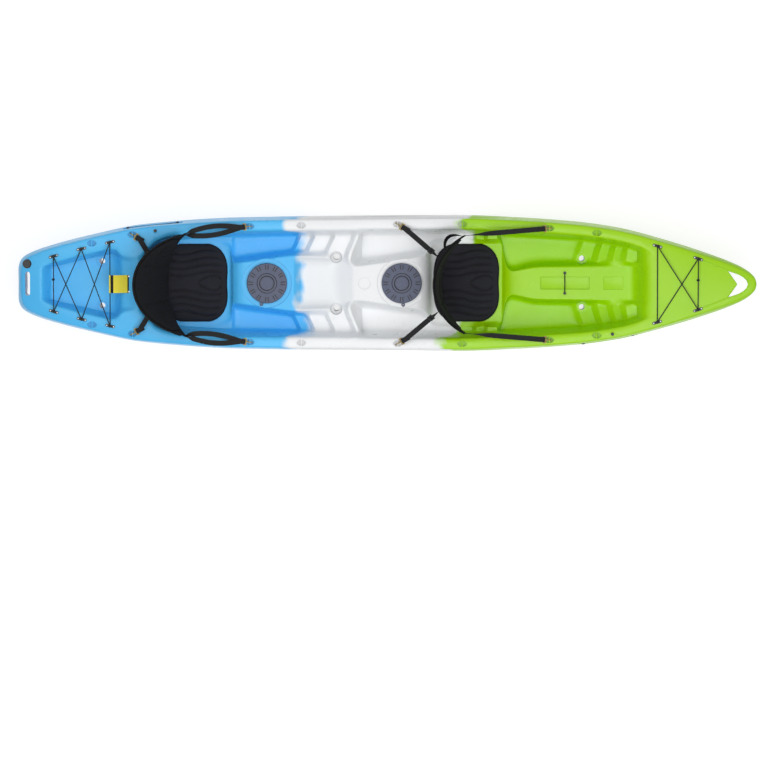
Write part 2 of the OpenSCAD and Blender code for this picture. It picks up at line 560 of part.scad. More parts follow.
// A bight goes round an eye's bar, from over it to under it, or back
bight_r = 3.2 + cord_r + 0.4;
function outboard(p) = let (w = edge_yaw(p), s = sign(p[1])) s * [-sin(w), cos(w), 0];
function bight(p, under_first) = let (n = outboard(p), k = under_first ? -1 : 1)
    [for (a = [90:-30:-90]) p + n * bight_r * cos(a) + [0, 0, eye_bar_z + k * bight_r * sin(a)]];
function turned(points) = [for (i = [len(points) - 1:-1:0]) points[i]];

stern_turns = [bight(stern_eyes[0], true), bight(stern_eyes[4], false), bight(stern_eyes[2], false),
    bight(stern_eyes[5], true), bight(stern_eyes[1], false), bight(stern_eyes[3], true)];
function knot_between(a, b) = mix(a, b, 0.42);
stern_knot = knot_between(stern_turns[0][0], stern_turns[5][6]);
module stern_bungee() color(rubber_black) {
    cord(concat([stern_knot + [0, 11.2, 0]], [for (turn = stern_turns) each turn],
        [stern_knot - [0, 11.2, 0]]));
    knot(stern_knot);
}

bow_turns = [bight(bow_eyes[1], false), bight(bow_eyes[2], true),
    bight(bow_eyes[0], true), bight(bow_eyes[3], false)];
bow_knot = knot_between(bow_turns[0][0], bow_turns[3][6]);
function over_deck(a, b) = let (m = (a + b) / 2) [m[0], m[1], max(m[2], deck_z(m[0], 0) + cord_r + 1)];
module bow_bungee() color(rubber_black) {
    cord(concat([bow_knot + [0, 11.2, 0]], bow_turns[0],
        [over_deck(bow_turns[0][6], bow_turns[1][0])], bow_turns[1],
        bow_turns[2], bow_turns[3], [bow_knot - [0, 11.2, 0]]));
    knot(bow_knot);
}

// Buttons: a shank in the hull, a collar, a neck for the cord and a head
module button(shank, collar, neck, head, high) rotate_extrude()
    polygon([[0, -shank], [3, -shank], [3, 0], [collar, 0], [collar, 3], [neck, 3],
        [neck, high - 4], [head, high - 4],
        [head, high - 1], [head - 2, high], [0, high]]);

module console_buttons() color(rubber_black) for (side = [-1, 1])
    translate([console_button_x, side * console_button_y, bow_console]) button(11, 8, 4, 8, 14);

module console_bungee() color(rubber_black) translate([console_button_x, 0, bow_console + 6.5])
    rotate([90, 0, 0]) cylinder(r = cord_r, h = 2 * (console_button_y - 4.3), center = true);

module paddle_park_anchors() color(rubber_black) for (i = [0, 1], k = [-1, 1]) at_park(i)
    translate([k * park_span / 2, 10 - park_depth, 0]) rotate([-90, 0, 0]) button(0, 11, 5, 9, 15);

module paddle_park_bungees() color(rubber_black) for (i = [0, 1]) at_park(i)
    translate([0, 10 - park_depth + 7, 0]) rotate([0, 90, 0])
        cylinder(r = cord_r, h = park_span - 10.6, center = true);

module paddle_park_hooks() color(rubber_black) for (i = [0, 1]) translate(hook_at(i))
    button(13, 9, 4.5, 9, 14);

// Yellow tab: sleeved on the stern cord, its other end riveted to the shelf before the tank well
tab_width = 103;
tab_skin = 2.5;
tab_x = stern_eye_x[2];
tab_z = stern_eyes[2][2] + eye_bar_z - bight_r;
tab_end = tank_end - 22;
shelf_z = sheer_z(tank_end) - tank_shelf;
tab_in = cord_r + 0.5;
tab_out = tab_in + tab_skin;
tab_mid = [tab_x, tab_z];
tab_foot = [tab_end - 34, shelf_z + tab_skin];
tab_slope = let (d = tab_foot - tab_mid) atan2(d[1], d[0]) - asin(tab_out / norm(d));
tab_up = [-sin(tab_slope), cos(tab_slope)];
tab_rivet_x = tab_end - 8;
tab_rivet_y = 44;
module tab_profile() rotate([90, 0, 0]) linear_extrude(tab_width, center = true) children();
module tab_rivet_holes() for (s = [-1, 1]) translate([tab_rivet_x, s * tab_rivet_y, shelf_z - 1])
    cylinder(r = 2.5, h = 12);

module tank_tab() color(tab_yellow) difference() {
    tab_profile() difference() {
        union() {
            translate(tab_mid) circle(tab_out);
            polygon([tab_mid + tab_up * tab_out, tab_foot, [tab_end, shelf_z + tab_skin], [tab_end, shelf_z],
                tab_foot - [0, tab_skin], tab_mid + tab_up * (tab_in + 0.4)]);
        }
        translate(tab_mid) circle(tab_in);
    }
    tab_rivet_holes();
}

module tank_tab_ends() color(cloth_black) difference() {
    tab_profile() {
        translate([tab_end - 16, shelf_z + tab_skin]) square([16, 2.5]);
        translate(tab_mid + tab_up * tab_out) rotate(tab_slope) translate([4, 0]) square([14, 1.6]);
    }
    tab_rivet_holes();
}

module tank_tab_rivets() color(steel) for (s = [-1, 1]) translate([tab_rivet_x, s * tab_rivet_y, shelf_z])
    rotate_extrude() polygon([[0, -10], [2.3, -10], [2.3, 5.05], [5, 5.05], [4, 7], [0, 7.6]]);

// Seat pads: crowned, drawn in at the edge, with sewn channels and a drop-shaped hollow in front
hinge_z = seat_floor + 40;
hinge_r = 4;
pad_back = 30;
pad_edge = 10;
pad_s = [-1, -0.94, -0.8, -0.55, -0.28, 0, 0.28, 0.5, 0.7, 0.86, 0.95, 1];
pad_t_half = [0.08, 0.2, 0.28, 0.34, 0.4, 0.5, 0.58, 0.64, 0.7, 0.8, 0.91, 0.97];
pad_t = concat([for (i = [len(pad_t_half) - 1:-1:0]) -pad_t_half[i]], pad_t_half);
function bump(d, w) = exp(-pow(d / w, 2));
function pad_half_length(t) = pad_length / 2 * pow(1 - pow(abs(t), 3), 1 / 3);
function pad_channel(s, t) = let (wave = 0.03 * sin(180 * s), live = ease((0.95 - abs(s)) / 0.3))
    live * 6 * max([for (c = [0.34, 0.64]) bump(abs(t) - c - wave, 0.05)])
    + 9 * bump(t, 0.12) * bump(s - 0.72, 0.22);
function pad_top(s, t) = pad_edge - pad_channel(s, t)
    + (pad_crown - pad_edge) * (1 - pow(abs(s), 5)) * (1 - pow(abs(t) / 0.97, 6));
function pad_xy(s, t) = [s * pad_half_length(t) - 9 * ease((s - 0.5) / 0.5) * bump(t, 0.35),
    t / 0.97 * pad_width / 2];
function pad_ring(s) = concat(
    [for (t = pad_t) let (p = pad_xy(s, t)) [p[0], p[1], max(4, pad_top(s, t))]],
    [for (i = [len(pad_t) - 1:-1:0]) let (p = pad_xy(s, pad_t[i])) [p[0], p[1], 0]]);
lug_y = 85;

module seat_pad(x) color(cloth_black) difference() {
    union() {
        translate([x + pad_length / 2 - pad_back, 0, seat_floor + gap])
            loft([for (s = pad_s) pad_ring(s)], strip_ends = true);
        for (side = [-1, 1]) translate([x - 8, side * lug_y - 6, seat_floor + 4]) cube([16, 12, 43]);
    }
    across(x, hinge_z) cylinder(r = hinge_r + 0.05, h = 400, center = true);
}

// Backrests: a curved panel that turns on a rod, with a cushion on its front
wing_half = 285;
wing_angle = asin(wing_half / back_radius);
panel_thickness = 6;
panel_foot = 12;
wing_foot = 174;
wing_top = 255;
wing_hold = 222.5;
cushion = 22;
back_angles = [for (i = [-10:10]) i / 10];
function back_top(k) = back_height - (back_height - wing_top) * pow(abs(k), 2);
function back_foot(k) = panel_foot + (wing_foot - panel_foot) * ease((abs(k) - 0.28) / 0.72);
function back_point(k, h, inset) = let (a = k * wing_angle, r = back_radius - inset)
    [back_radius - r * cos(a), r * sin(a), h];
heights = [0, 0.06, 0.25, 0.5, 0.75, 0.94, 1];
function panel_ring(k) = concat(
    [for (i = [len(heights) - 1:-1:0]) back_point(k, mix(back_foot(k), back_top(k), heights[i]), 0)],
    [for (h = heights) back_point(k, mix(back_foot(k), back_top(k), h), panel_thickness)]);
function cushion_swell(k, h) = 5 + (cushion - 5) * (1 - pow(abs(k), 6)) * (1 - pow(abs(2 * h - 1), 6))
    - 5 * bump(abs(k) - 0.36, 0.08) * (1 - pow(abs(2 * h - 1), 4));
cushion_angles = [for (i = [-9:9]) i / 10];
function cushion_ring(k) = let (j = k / 0.9, low = back_foot(k) + 12, high = back_top(k) - 12)
    let (back = panel_thickness + 0.2)
    concat([for (i = [len(heights) - 1:-1:0]) back_point(k, mix(low, high, heights[i]), back)],
        [for (h = heights) back_point(k, mix(low, high, h), back + cushion_swell(j, h))]);
module at_hinge(x, lean) translate([x, 0, hinge_z]) rotate([0, -lean, 0]) children();

module backrest(x, lean) color(cloth_black) at_hinge(x, lean) difference() {
    union() {
        loft([for (k = back_angles) panel_ring(k)], strip_ends = true);
        translate([0, -70, 0]) cube([6, 140, panel_foot + 6]);
        rotate([90, 0, 0]) cylinder(r = hinge_r + 4, h = 140, center = true);
    }
    rotate([90, 0, 0]) cylinder(r = hinge_r + 0.05, h = 400, center = true);
}
module backrest_pad(x, lean) color(cloth_black) at_hinge(x, lean)
    loft([for (k = cushion_angles) cushion_ring(k)], strip_ends = true);
module hinge_rod(x) color(steel) across(x, hinge_z)
    cylinder(r = hinge_r, h = 2 * lug_y + 12, center = true);
function leaned(x, lean, p) = [x + p[0] * cos(lean) - p[2] * sin(lean), p[1],
    hinge_z + p[0] * sin(lean) + p[2] * cos(lean)];

// Straps: webbing from a snap hook in a pad eye to the backrest
hook_r = 13;
hook_wire = 3;
hook_pitch = 28;
frame_near = 23;
frame_bar = 5.5;
frame_slot = 7;
frame_far_x = frame_near + frame_bar * 1.5 + frame_slot;
fold = 3.9 + 0.3 + strap_thickness / 2;
rear_lay = [rear_seat_x, rear_lean, 2, 1];
front_lay = [front_seat_x, front_lean, 6, 4];
function strap_eye(lay, end, side) = pad_eye_at(end == 1 ? lay[2] : lay[3], side);
function hook_centre(lay, end, side) = strap_eye(lay, end, side)
    + [0, 0, hook_r - 5 - pad_eye_bar_r - 0.5 - hook_wire];
function strap_hold(lay, end, side) = let (
        front = back_point(side, wing_hold, panel_thickness / 2),
        tip = [sin(wing_angle), side * cos(wing_angle), 0],
        back = back_point(0.43 * side, 235, -gap))
    leaned(lay[0], lay[1], end == 1 ? front + tip * gap : back);
function hook_yaw(lay, end, side) = let (d = strap_hold(lay, end, side) - hook_centre(lay, end, side),
        back = d[0] < 0 ? 180 : 0, turn = atan(d[1] / d[0]))
    back + max(-30, min(30, turn));
function hook_point(lay, end, side, p) = let (
        w = hook_yaw(lay, end, side), c = cos(hook_pitch), s = sin(hook_pitch),
        q = [p[0] * c - p[2] * s, p[1], p[0] * s + p[2] * c])
    hook_centre(lay, end, side) + [q[0] * cos(w) - q[1] * sin(w), q[0] * sin(w) + q[1] * cos(w), q[2]];
module at_hook(lay, end, side) translate(hook_centre(lay, end, side))
    rotate([0, 0, hook_yaw(lay, end, side)]) rotate([0, -hook_pitch, 0]) children();

module hook() {
    rotate([90, 0, 0]) rotate(120) rotate_extrude(angle = 300)
        translate([hook_r, 0]) circle(hook_wire, $fn = 24);
    translate([hook_r - 1, 0, 0]) rotate([0, 90, 0]) cylinder(r = 3.6, h = frame_near - hook_r + 2);
    translate([frame_near, 0, -frame_bar / 2]) linear_extrude(frame_bar) difference() {
        translate([0, -strap_width / 2 - 6]) square([2 * frame_bar + frame_slot, strap_width + 12]);
        translate([frame_bar, -strap_width / 2 - 0.8]) square([frame_slot, strap_width + 1.6]);
    }
}
module seat_hooks(lay) color(brass) for (end = [0, 1], side = [-1, 1]) at_hook(lay, end, side) hook();
gate_z = hook_r * sin(60);
gate_pivot = 3.3;
gate_r = 2.4;
module hook_gate(lay, end, side) color(brass) at_hook(lay, end, side) translate([gate_pivot, 0, gate_z]) {
    rotate([0, -90, 0]) cylinder(r = gate_r, h = gate_pivot + 4.5);
    sphere(r = gate_r);
    rotate([90, 0, 0]) cylinder(r = 1.3, h = 2 * gate_r + 1.6, center = true);
}

function strap_fold(lay, end, side) = [for (p = concat(
        [[frame_far_x + 46, -fold], [frame_far_x + 20, -fold]],
        [for (a = [270:-45:90]) [frame_far_x + fold * cos(a), fold * sin(a)]], [[frame_far_x + 24, fold]]))
    hook_point(lay, end, side, [p[0], 0, p[1]])];
strap_marks = [for (i = [1:10]) i / 10];
function strap_points(lay, end, side) = let (turn = strap_fold(lay, end, side), from = turn[len(turn) - 1],
        to = strap_hold(lay, end, side))
    concat(turn, [for (f = strap_marks) mix(from, to, f) + [0, 0, end == 1 ? -10 * sin(180 * f) : 0]]);
function strap_across(lay, end, side, points, i) = let (
        w = hook_yaw(lay, end, side), flat = [-sin(w), cos(w), 0],
        up = [-sin(lay[1]), 0, cos(lay[1])], count = len(points) - len(strap_marks),
        f = i < count ? 0 : strap_marks[i - count],
        turn = end == 1 ? ease((f - 0.45) / 0.5) : ease(f / 0.4),
        t = along(points, i),
        raw = flat * cos(90 * turn) + up * side * (end == 1 ? 1 : -1) * sin(90 * turn))
    unit(raw - t * (raw * t));
function strap_ring(p, up, left) = [p + up + left, p - up + left, p - up - left, p + up - left];
function strap_end_ring(lay, end, side) = let (a = side * wing_angle * (end == 1 ? 1 : 0.43),
        inward = end == 1 ? [-cos(a), sin(a), 0] : [-sin(a), -cos(a), 0],
        left = [-sin(lay[1]), 0, cos(lay[1])] * side * (end == 1 ? 1 : -1),
        up = [inward[0] * cos(lay[1]), inward[1], inward[0] * sin(lay[1])] * (end == 1 ? 1 : side))
    strap_ring(strap_hold(lay, end, side), up * strap_thickness / 2, left * strap_width / 2);
module strap(lay, end, side) color(rubber_black) {
    points = strap_points(lay, end, side);
    loft(concat([for (i = [0:len(points) - 2]) let (w = strap_across(lay, end, side, points, i))
        strap_ring(points[i], cross(along(points, i), w) * strap_thickness / 2, w * strap_width / 2)],
        [strap_end_ring(lay, end, side)]), mirror_at = 2);
}

// Ladder buckles on the two back straps of a seat
module buckle_on(lay, side) {
    points = strap_points(lay, 0, side);
    i = len(points) - 4;
    t = along(points, i);
    w = strap_across(lay, 0, side, points, i);
    up = cross(t, w);
    p = points[i];
    multmatrix([[t[0], w[0], up[0], p[0]], [t[1], w[1], up[1], p[1]], [t[2], w[2], up[2], p[2]]])
        difference() {
            union() {
                cube([28, strap_width + 12, 9], center = true);
                for (s = [-9, 9]) translate([s, 0, 4]) cube([5, strap_width + 12, 5], center = true);
            }
            cube([60, strap_width + 2, strap_thickness + 2.4], center = true);
        }
}
module seat_buckles(lay) color(rubber_black) for (side = [-1, 1]) buckle_on(lay, side);

hull();
hatch_rim(rear_hatch_x);  // rear_hatch_rim
hatch_rim(front_hatch_x);  // front_hatch_rim
hatch_screws(rear_hatch_x);  // rear_hatch_screws
hatch_screws(front_hatch_x);  // front_hatch_screws
hatch_seal(rear_hatch_x);  // rear_hatch_seal
hatch_seal(front_hatch_x);  // front_hatch_seal
hatch_lid(rear_hatch_x, -105);  // rear_hatch_lid
hatch_lid(front_hatch_x, -86);  // front_hatch_lid
drain_socket();
drain_gasket();
drain_plug();
wheel_axle();
axle_caps();
wheel_bush();
wheel_hub();
wheel_tyre();
stern_lash_eyes();
bow_lash_eyes();
lash_eye_rivets();
stern_bungee();
bow_bungee();
console_buttons();
console_bungee();
paddle_park_anchors();
paddle_park_hooks();
paddle_park_bungees();
tank_tab();
tank_tab_ends();
tank_tab_rivets();
seat_pad(rear_seat_x);  // rear_seat_pad
hinge_rod(rear_seat_x);  // rear_hinge_rod
backrest(rear_seat_x, rear_lean);  // rear_backrest
backrest_pad(rear_seat_x, rear_lean);  // rear_backrest_pad
seat_hooks(rear_lay);  // rear_seat_hooks
seat_buckles(rear_lay);  // rear_seat_buckles
strap(rear_lay, 1, 1);  // rear_strap_front_port
strap(rear_lay, 1, -1);  // rear_strap_front_starboard
strap(rear_lay, 0, 1);  // rear_strap_back_port
strap(rear_lay, 0, -1);  // rear_strap_back_starboard
seat_pad(front_seat_x);  // front_seat_pad
hinge_rod(front_seat_x);  // front_hinge_rod
backrest(front_seat_x, front_lean);  // front_backrest
backrest_pad(front_seat_x, front_lean);  // front_backrest_pad
seat_hooks(front_lay);  // front_seat_hooks
seat_buckles(front_lay);  // front_seat_buckles
strap(front_lay, 1, 1);  // front_strap_front_port
strap(front_lay, 1, -1);  // front_strap_front_starboard
strap(front_lay, 0, 1);  // front_strap_back_port
strap(front_lay, 0, -1);  // front_strap_back_starboard
hook_gate(rear_lay, 1, 1);  // rear_gate_front_port
hook_gate(rear_lay, 1, -1);  // rear_gate_front_starboard
hook_gate(rear_lay, 0, 1);  // rear_gate_back_port
hook_gate(rear_lay, 0, -1);  // rear_gate_back_starboard
hook_gate(front_lay, 1, 1);  // front_gate_front_port
hook_gate(front_lay, 1, -1);  // front_gate_front_starboard
hook_gate(front_lay, 0, 1);  // front_gate_back_port
hook_gate(front_lay, 0, -1);  // front_gate_back_starboard
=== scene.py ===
# %% [markdown]
# # A tandem sit-on-top kayak
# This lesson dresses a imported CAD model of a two-seat kayak. The CAD solids give every place and size, and
# each step below makes one piece or one finish look like the real thing. Work through the cells in order.

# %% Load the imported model
import bpy
import bmesh
import json
from math import asin, atan, atan2, copysign, cos, degrees, exp, hypot, pi, radians, sin, sqrt, tau
from mathutils import Matrix, Vector


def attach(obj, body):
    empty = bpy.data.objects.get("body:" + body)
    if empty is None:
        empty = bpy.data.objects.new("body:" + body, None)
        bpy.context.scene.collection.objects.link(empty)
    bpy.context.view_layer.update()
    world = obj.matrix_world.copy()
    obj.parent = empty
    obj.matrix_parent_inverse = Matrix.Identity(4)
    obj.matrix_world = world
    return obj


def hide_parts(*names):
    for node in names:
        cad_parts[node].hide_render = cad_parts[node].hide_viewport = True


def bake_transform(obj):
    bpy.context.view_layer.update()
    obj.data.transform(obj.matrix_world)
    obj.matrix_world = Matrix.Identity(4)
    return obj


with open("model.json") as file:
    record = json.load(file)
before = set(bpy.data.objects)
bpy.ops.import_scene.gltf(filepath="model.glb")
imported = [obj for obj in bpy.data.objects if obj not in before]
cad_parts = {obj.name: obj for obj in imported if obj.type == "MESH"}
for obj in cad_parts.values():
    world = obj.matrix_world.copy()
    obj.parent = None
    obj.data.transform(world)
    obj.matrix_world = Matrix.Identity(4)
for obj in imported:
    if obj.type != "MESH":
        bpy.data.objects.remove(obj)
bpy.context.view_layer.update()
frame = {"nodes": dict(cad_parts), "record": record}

nodes = frame["nodes"]

# %% [markdown]
# ## Camera
# The photograph looks almost straight down through a long lens, from slightly over the port side, so a thin
# strip of the port flank shows. A 200 mm lens 25 m up gives the same flat perspective. The boat lies above
# the middle of the picture, so the camera tips 3.5 degrees past it instead of using lens shift.

# %% Place the camera
EYE, AIM_Y, AIM_Z = (-0.009, 0.95, 25.3), -0.585, 0.3

scene = bpy.context.scene
camera = bpy.data.objects.new("camera", bpy.data.cameras.new("camera"))
scene.collection.objects.link(camera)
scene.camera = camera
camera.data.sensor_width = 36.0
camera.data.lens = 201.6
camera.data.clip_end = 100.0
camera.location = EYE
camera.rotation_euler = (-atan2(EYE[1] - AIM_Y, EYE[2] - AIM_Z), 0.0, 0.0)
print("camera", [round(v, 2) for v in camera.location], "lens", camera.data.lens)

# %% [markdown]
# ## Light and floor
# A product picture has one broad soft lamp overhead and a bright room around it. Two large area lamps and a
# pale world do that here. The world is plain white, and the floor glows, for camera, mirror and glass rays
# only, so the background is white without pouring more light on the boat. The floor's own paint is darker
# for those rays, which keeps the shadow faint.

# %% Lamps, world and floor
WHITE, ROOM_LIGHT, FLOOR_HALF = (1.0, 1.0, 1.0, 1.0), 0.42, 9.0

def soft_lamp(name, place, look_at, size, power):
    lamp = bpy.data.objects.new(name, bpy.data.lights.new(name, "AREA"))
    lamp.data.shape = "DISK"
    lamp.data.size = size
    lamp.data.energy = power
    lamp.location = place
    lamp.rotation_euler = (Vector(look_at) - Vector(place)).to_track_quat("-Z", "Y").to_euler()
    scene.collection.objects.link(lamp)

soft_lamp("key_lamp", (1.0, -1.7, 5.2), (0.3, 0, 0.2), size=4.0, power=114.0)
soft_lamp("fill_lamp", (-1.6, 1.0, 5.4), (-0.4, 0, 0.2), size=4.4, power=72.0)

world = bpy.data.worlds.new("studio")
scene.world = world
world.use_nodes = True
sky = world.node_tree
room, white = sky.nodes["Background"], sky.nodes.new("ShaderNodeBackground")
for part in (room, white):
    part.inputs["Color"].default_value = WHITE
room.inputs["Strength"].default_value = ROOM_LIGHT
both = sky.nodes.new("ShaderNodeMixShader")

def seen_rays(tree):
    rays = tree.nodes.new("ShaderNodeLightPath")
    found = rays.outputs["Is Camera Ray"]
    for kind in ("Is Glossy Ray", "Is Transmission Ray"):
        either = tree.nodes.new("ShaderNodeMath")
        either.operation = "MAXIMUM"
        tree.links.new(found, either.inputs[0])
        tree.links.new(rays.outputs[kind], either.inputs[1])
        found = either.outputs[0]
    return found

sky.links.new(seen_rays(sky), both.inputs["Fac"])
sky.links.new(room.outputs[0], both.inputs[1])
sky.links.new(white.outputs[0], both.inputs[2])
sky.links.new(both.outputs[0], sky.nodes["World Output"].inputs["Surface"])
scene.view_settings.view_transform = "Standard"

def new_object(name, bm):
    mesh = bpy.data.meshes.new(name)
    bm.to_mesh(mesh)
    bm.free()
    piece = bpy.data.objects.new(name, mesh)
    scene.collection.objects.link(piece)
    return piece

bm = bmesh.new()
bmesh.ops.create_grid(bm, x_segments=1, y_segments=1, size=FLOOR_HALF)
floor = new_object("floor", bm)
print("lamps, world and floor ready")

# %% [markdown]
# ## Finishes
# Every finish is a small node tree: a base colour with slight variation, roughness from noise, and a bump
# for the grain. Patterns read Object coordinates, in metres, so a scale of 300 gives grains of about 3 mm.
# Webbing and cords carry a UV map, because their weave follows the piece. The class keeps a tree and its
# shader together, so that each step of a recipe is one short call.

# %% Helpers for node trees
def linear(code):
    parts = [int(code[i:i + 2], 16) / 255 for i in (1, 3, 5)]
    return [c / 12.92 if c <= 0.04045 else ((c + 0.055) / 1.055) ** 2.4 for c in parts] + [1.0]

class Finish:
    def __init__(self, name, roughness, metallic=0.0):
        self.material = bpy.data.materials.new(name)
        self.material.use_nodes = True
        self.tree = self.material.node_tree
        self.shader = self.tree.nodes["Principled BSDF"]
        self.coords = self.add("TexCoord")
        self.set("Roughness", roughness)
        self.set("Metallic", metallic)

    def set(self, key, value):
        self.shader.inputs[key].default_value = value

    def add(self, kind, **values):
        made = self.tree.nodes.new("ShaderNode" + kind)
        for key, value in values.items():
            if key in made.inputs:
                made.inputs[key].default_value = value
            else:
                setattr(made, key, value)
        return made

    def wire(self, start, end):
        self.tree.links.new(start, end)

    def feed(self, key, start):
        self.wire(start, self.shader.inputs[key])

    def noise(self, scale, detail=2.0):
        made = self.add("TexNoise", Scale=scale, Detail=detail)
        self.wire(self.coords.outputs["Object"], made.inputs["Vector"])
        return made.outputs["Fac"]

    def waves(self, coords, scale, direction):
        made = self.add("TexWave", Scale=scale, Distortion=0.0, bands_direction=direction)
        self.wire(coords, made.inputs["Vector"])
        return made.outputs["Fac"]

    def sum_of(self, a, factor, b):
        made = self.add("Math", operation="MULTIPLY_ADD")
        self.wire(a, made.inputs[0])
        made.inputs[1].default_value = factor
        self.wire(b, made.inputs[2])
        return made.outputs[0]

    def ranged(self, value, low, high, to_low=0.0, to_high=1.0, way="LINEAR"):
        made = self.add("MapRange", interpolation_type=way, **{
            "From Min": low, "From Max": high, "To Min": to_low, "To Max": to_high})
        self.wire(value, made.inputs["Value"])
        return made.outputs["Result"]

    def blended(self, factor, first, second):
        made = self.add("Mix", data_type="RGBA")
        self.wire(factor, made.inputs["Factor"])
        colours = {"A_Color": first, "B_Color": second}
        for socket in made.inputs:
            colour = colours.get(socket.identifier)
            if isinstance(colour, (str, tuple)):
                socket.default_value = linear(colour) if isinstance(colour, str) else colour
            elif colour is not None:
                self.wire(colour, socket)
        return next(socket for socket in made.outputs if socket.identifier == "Result_Color")

    def bumped(self, height, distance, strength, under=None):
        made = self.add("Bump", Strength=strength, Distance=distance)
        self.wire(height, made.inputs["Height"])
        if under is not None:
            self.wire(under, made.inputs["Normal"])
        self.feed("Normal", made.outputs["Normal"])
        return made.outputs["Normal"]

    # Painted shade: darkens a colour where ambient occlusion finds hollows, creases and seams, as if shade
    # fell there.
    def painted_hollow_shade(self, colour, reach, darkest_shade):
        made = self.add("AmbientOcclusion", samples=12, only_local=True, Distance=reach)
        deep = self.add("HueSaturation", Saturation=1.06)
        self.wire(self.ranged(made.outputs["AO"], 0.25, 0.95, darkest_shade), deep.inputs["Value"])
        self.wire(colour, deep.inputs["Color"])
        return deep.outputs["Color"]

def put_on(material, piece):
    piece.data.materials.clear()
    piece.data.materials.append(material)

FLOOR_GLOW, FLOOR_SEEN = 0.8, (0.3, 0.3, 0.3, 1)
paint = Finish("floor_paint", 0.75)
spots = paint.blended(paint.noise(6.0), (0.90, 0.90, 0.90, 1), (0.92, 0.92, 0.92, 1))
seen = seen_rays(paint.tree)
paint.feed("Base Color", paint.blended(seen, spots, FLOOR_SEEN))
paint.set("Emission Color", WHITE)
paint.feed("Emission Strength", paint.ranged(seen, 0, 1, 0, FLOOR_GLOW))
put_on(paint.material, floor)
print("floor painted")

# %% [markdown]
# ### The moulded hull's three colours
# In the mould, powder of one colour is laid beside the next, so blue, white and lime meet in wavy,
# feathered edges. The same thing is done here by bending the length coordinate with two sizes of noise
# before it picks a colour. The meeting lines lean, because the powder slid down the mould. Hollows get a
# painted shade: their colour is a little darker, which keeps the steps and wells readable in the soft light.

# %% Hull plastic
WIDE_SPLASH, FINE_SPLASH = 0.18, 0.03
STERN_BORDER, BOW_BORDER = (-0.31, -0.25), (0.65, 0.69)

skin = Finish("hull_plastic", 0.34)
parts = skin.add("SeparateXYZ")
skin.wire(skin.coords.outputs["Object"], parts.inputs[0])
x, y, z = (parts.outputs[axis] for axis in "XYZ")
bent = skin.sum_of(skin.noise(6.0, 1.5), WIDE_SPLASH, x)
bent = skin.sum_of(skin.noise(24.0), FINE_SPLASH, bent)
stern_line = skin.sum_of(z, 0.5, bent)
bow_line = skin.sum_of(y, -0.15, skin.sum_of(z, 0.55, bent))
to_white = skin.ranged(stern_line, *STERN_BORDER, way="SMOOTHSTEP")
to_lime = skin.ranged(bow_line, *BOW_BORDER, way="SMOOTHSTEP")
haze = skin.noise(2.2, 5.0)
blue = skin.blended(haze, "#5bbcf7", "#70cbfd")
cream = skin.blended(haze, "#eceef0", "#f6f7f8")
lime = skin.blended(haze, "#99d31a", "#a7dc26")
three = skin.blended(to_lime, skin.blended(to_white, blue, cream), lime)
# Painted shade: the three colours are darkened in the hull's hollows, steps and wells.
skin.feed("Base Color", skin.painted_hollow_shade(three, reach=0.04, darkest_shade=0.76))
skin.feed("Roughness", skin.ranged(skin.noise(18.0, 4.0), 0.3, 0.7, 0.26, 0.4))
skin.set("Specular IOR Level", 0.32)
skin.set("Coat Weight", 0.12)
skin.set("Coat Roughness", 0.14)
flow = skin.bumped(skin.noise(11.0), 0.002, 0.5)
skin.bumped(skin.noise(420.0), 0.0004, 0.6, flow)
hull_plastic = skin.material
print("hull plastic mixed")

# %% [markdown]
# ### Hardware, cord and cloth
# The fittings are moulded black plastic and rubber, the snap hooks are cast brass, and the screws are
# stainless. The seats are a woven nylon over foam: two crossed waves make its weave.

# %% Plastics, rubber and metals
PLASTIC = {"metallic": 0.0, "patches": (60.0, 3.0), "wear": 140.0, "spread": (0.08, 0.08),
           "bump": (0.0005, 0.5)}
METAL = {"metallic": 1.0, "patches": (90.0, 4.0), "wear": 300.0, "spread": (0.1, 0.12), "bump": (0.0002, 0.4)}

def grained(name, dark, pale, roughness, grain, kind=PLASTIC):
    made = Finish(name, roughness, kind["metallic"])
    made.feed("Base Color", made.blended(made.noise(*kind["patches"]), dark, pale))
    less, more = kind["spread"]
    wear = made.noise(kind["wear"])
    made.feed("Roughness", made.ranged(wear, 0.3, 0.7, roughness - less, roughness + more))
    made.bumped(made.noise(grain), *kind["bump"])
    return made.material

recipes = {"black_plastic": ("black_plastic", "#151517", "#202023", 0.42, 900.0),
           "lid_plastic": ("lid_plastic", "#434960", "#525971", 0.5, 700.0),
           "seal_rubber": ("seal_rubber", "#101011", "#1a1a1c", 0.7, 1200.0),
           "wheel_rubber": ("wheel_rubber", "#171717", "#232324", 0.8, 500.0),
           "hub_plastic": ("hub_plastic", "#2b2c2f", "#383a3d", 0.5, 800.0),
           "brass": ("cast_brass", "#8d7a4e", "#b9a36c", 0.32, 1500.0, METAL),
           "steel": ("stainless", "#b4b6ba", "#d6d8db", 0.28, 1500.0, METAL)}
finishes = {slot: grained(*recipe) for slot, recipe in recipes.items()}
black_plastic = finishes["black_plastic"]
print("plastics and metals mixed")

# %% Woven cloth, webbing and cord
THREADS, WEAVE_DEPTH = 130.0, 0.0006

